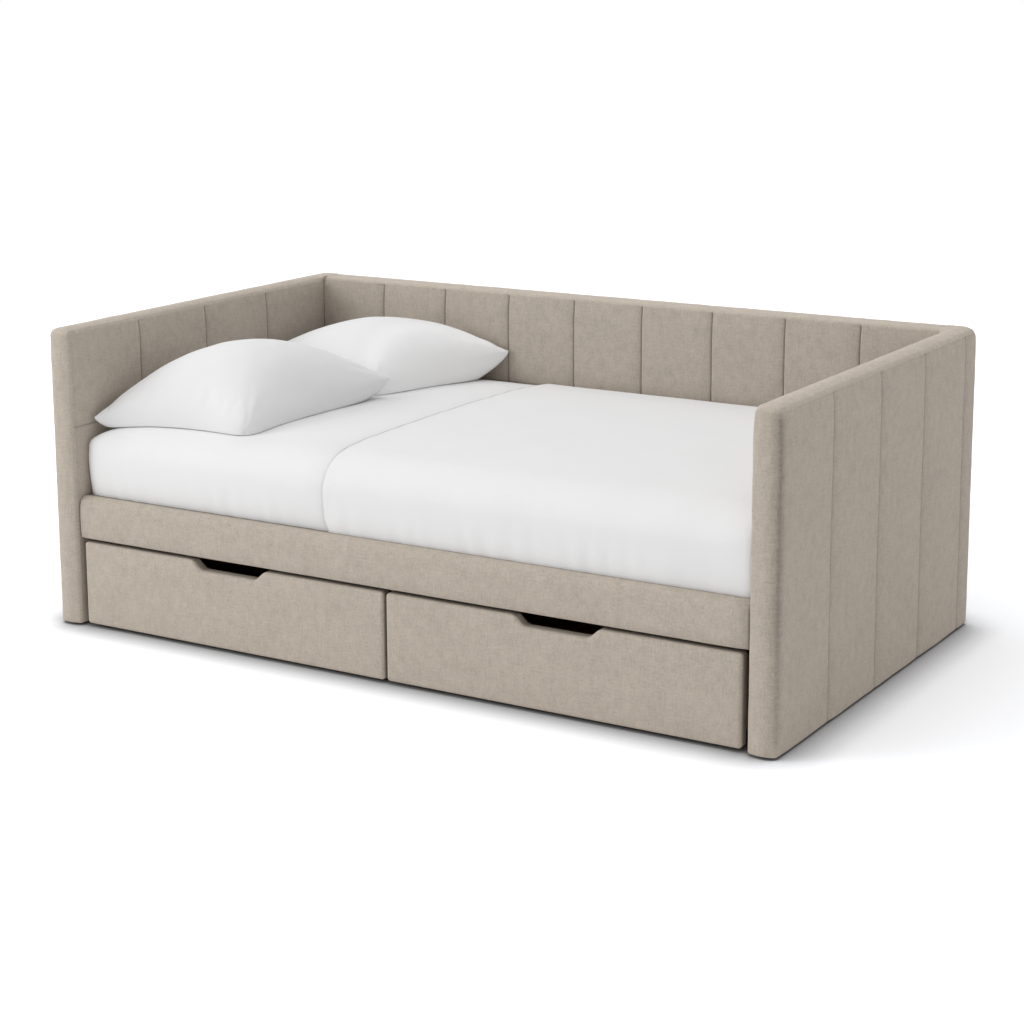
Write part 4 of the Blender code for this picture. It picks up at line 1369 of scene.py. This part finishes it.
class DAYBED_OT_finishes(bpy.types.Operator):
    """Make every material and finish the timber, metal and plastic parts"""

    bl_idname = "daybed.finishes"
    bl_label = "Finishes"

    def execute(self, context):
        upholstery_weave(tuple(context.scene.daybed_panels.colour))
        bedding_cotton(tuple(context.scene.daybed_bedding.colour))
        colours = context.scene.daybed_hardware
        timber_finish("timber_lengthwise", tuple(colours.timber), ACROSS)
        timber_finish("timber_crosswise", tuple(colours.timber), DEEP)
        black_plastic(tuple(colours.plastic))
        plated_steel(tuple(colours.steel))
        finishes = {**cloths, "black_plastic": "moulded_black_plastic", "steel": "plated_steel"}
        slots = {row["node"]: row["material_slot"] for row in frame["record"]["subparts"]}
        for name, node in frame["nodes"].items():
            crossing = name.startswith("slat") or "divider" in name or "side" in name or "arm" in name
            timber = "timber_crosswise" if crossing else "timber_lengthwise"
            node.data.materials.clear()
            node.data.materials.append(bpy.data.materials[finishes.get(slots[name], timber)])
        return {"FINISHED"}


# Studio: how bright the floor and the sky are to the lights and to the camera, and how dark the shadow
# painted on the floor gets at its line of contact

floor_colour, floor_seen_tint = 0.95, (0.985, 1.0, 1.03)
floor_painted_contact_shadow, floor_open = 0.28, 1.28
contact_reach = 0.12
sky_light, sky_seen = 0.568, 1.0

# The camera of the photo: its place, heading, downward tilt and roll in degrees, focal length in pixels

camera_place = (2.9565, -4.8606, 1.7295)
camera_heading, camera_tilt, camera_roll = 31.284, 11.489, -0.262
focal_pixels, picture_pixels, sensor_width = 2245.9, 1024, 36
camera_shift = -0.10


def distant_light(name, towards, spread, strength):
    """A sun lamp: the direction towards it, how wide it is in degrees and how strong."""
    bpy.ops.object.light_add(type="SUN", location=Vector(towards).normalized() * 6)
    lamp = bpy.context.object
    lamp.name = name
    lamp.data.angle = math.radians(spread)
    lamp.data.energy = strength
    lamp.rotation_euler = Vector(towards).to_track_quat("Z", "Y").to_euler()


def soft_box(name, place, aim, size, power):
    """A round area lamp aimed at a point."""
    bpy.ops.object.light_add(type="AREA", location=place)
    lamp = bpy.context.object
    lamp.name = name
    lamp.data.shape = "DISK"
    lamp.data.size = size
    lamp.data.energy = power
    lamp.rotation_euler = (Vector(aim) - Vector(place)).to_track_quat("-Z", "Y").to_euler()


def seen_directly(tree):
    """1 where the camera sees a surface itself, by a reflection or through something clear."""
    path = add_node(tree, "ShaderNodeLightPath").outputs
    seen = math_of(tree, "MAXIMUM", path["Is Camera Ray"], path["Is Glossy Ray"])
    return math_of(tree, "MAXIMUM", seen, path["Is Transmission Ray"])


def studio_white():
    """Matt white, seen a little brighter than it lights, with a painted shadow that is dark where a piece
    nearly touches it.
    """
    tree, shader = new_finish("studio_white", (floor_colour,) * 3, 1.0)
    shader.inputs["Specular IOR Level"].default_value = 0.0
    seen = seen_directly(tree)
    # Painted contact shadow: as the camera sees it, the floor is darkened by the occlusion of pieces nearby
    nearby = add_node(tree, "ShaderNodeAmbientOcclusion", samples=8)
    nearby.inputs["Distance"].default_value = contact_reach
    contact = spread_of(tree, nearby.outputs["AO"], 0.38, 1.0, floor_painted_contact_shadow, floor_open)
    plain = times(tree, math_of(tree, "SUBTRACT", 1.0, seen), floor_colour)
    looks = add_node(tree, "ShaderNodeVectorMath", operation="ADD")
    tree.links.new(scaled(tree, (1, 1, 1), plain), looks.inputs[0])
    tree.links.new(scaled(tree, floor_seen_tint, times(tree, seen, contact)), looks.inputs[1])
    tree.links.new(looks.outputs["Vector"], shader.inputs["Base Color"])


class DAYBED_OT_stage(bpy.types.Operator):
    """Set up the pale floor, the soft light and the camera"""

    bl_idname = "daybed.stage"
    bl_label = "Studio"

    def execute(self, context):
        bpy.ops.object.select_all(action="DESELECT")
        bpy.ops.mesh.primitive_plane_add(size=60, location=(0, 0, 0))
        floor = context.object
        floor.name = "pale_floor"
        studio_white()
        floor.data.materials.append(bpy.data.materials["studio_white"])
        world = bpy.data.worlds.new("studio_sky")
        world.use_nodes = True
        context.scene.world = world
        tree = world.node_tree
        sky = tree.nodes["Background"]
        sky.inputs["Color"].default_value = (1, 1, 1, 1)
        strength = spread_of(tree, seen_directly(tree), 0, 1, sky_light, sky_seen)
        tree.links.new(strength, sky.inputs["Strength"])
        distant_light("overhead_light", (0, 0, 1), 60, 0.258 * math.pi)
        distant_light("side_light", (-0.77, -0.43, 0.47), 60, 0.160 * math.pi)
        soft_box("front_light", (-4, -4, 3), (0, 0, 0.3), 2.4, 80)
        bpy.ops.object.camera_add(location=camera_place)
        camera = context.object
        camera.name = "photo_view"
        heading = Matrix.Rotation(math.radians(camera_heading), 3, "Z")
        tilt = Matrix.Rotation(math.radians(90 - camera_tilt), 3, "X")
        roll = Matrix.Rotation(math.radians(camera_roll), 3, "Z")
        camera.rotation_euler = (heading @ tilt @ roll).to_euler()
        camera.data.sensor_width = sensor_width
        camera.data.lens = focal_pixels / picture_pixels * sensor_width
        camera.data.shift_y = camera_shift
        context.scene.camera = camera
        context.scene.view_settings.view_transform = "Standard"
        return {"FINISHED"}


class DAYBED_PT_sidebar(bpy.types.Panel):
    """Lists the daybed's steps and sizes in the sidebar"""

    bl_idname = "DAYBED_PT_sidebar"
    bl_label = "Storage daybed"
    bl_space_type = "VIEW_3D"
    bl_region_type = "UI"
    bl_category = "Daybed"

    def draw(self, context):
        for step in steps:
            self.layout.operator(step.bl_idname)
        for group in groups:
            settings = getattr(context.scene, group)
            box = self.layout.box()
            for key in settings.__annotations__:
                box.prop(settings, key)


groups = {"daybed_panels": DaybedPanels, "daybed_bedding": DaybedBedding, "daybed_hardware": DaybedHardware}
steps = (
    DAYBED_OT_stage, DAYBED_OT_finishes, DAYBED_OT_arms_and_back, DAYBED_OT_rail, DAYBED_OT_drawer_fronts,
    DAYBED_OT_mattress, DAYBED_OT_bed_cover, DAYBED_OT_pillows)
classes = (*groups.values(), *steps, DAYBED_PT_sidebar)


def register():
    for made in classes:
        bpy.utils.register_class(made)
    for name, group in groups.items():
        setattr(bpy.types.Scene, name, PointerProperty(type=group))


def unregister():
    for name in groups:
        delattr(bpy.types.Scene, name)
    for made in reversed(classes):
        bpy.utils.unregister_class(made)


def main():
    register()
    bpy.ops.daybed.stage()
    bpy.ops.daybed.finishes()
    bpy.ops.daybed.arms_and_back()
    bpy.ops.daybed.rail()
    bpy.ops.daybed.drawer_fronts()
    bpy.ops.daybed.mattress()
    bpy.ops.daybed.bed_cover()
    bpy.ops.daybed.pillows()
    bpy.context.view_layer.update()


if __name__ == "__main__":
    main()
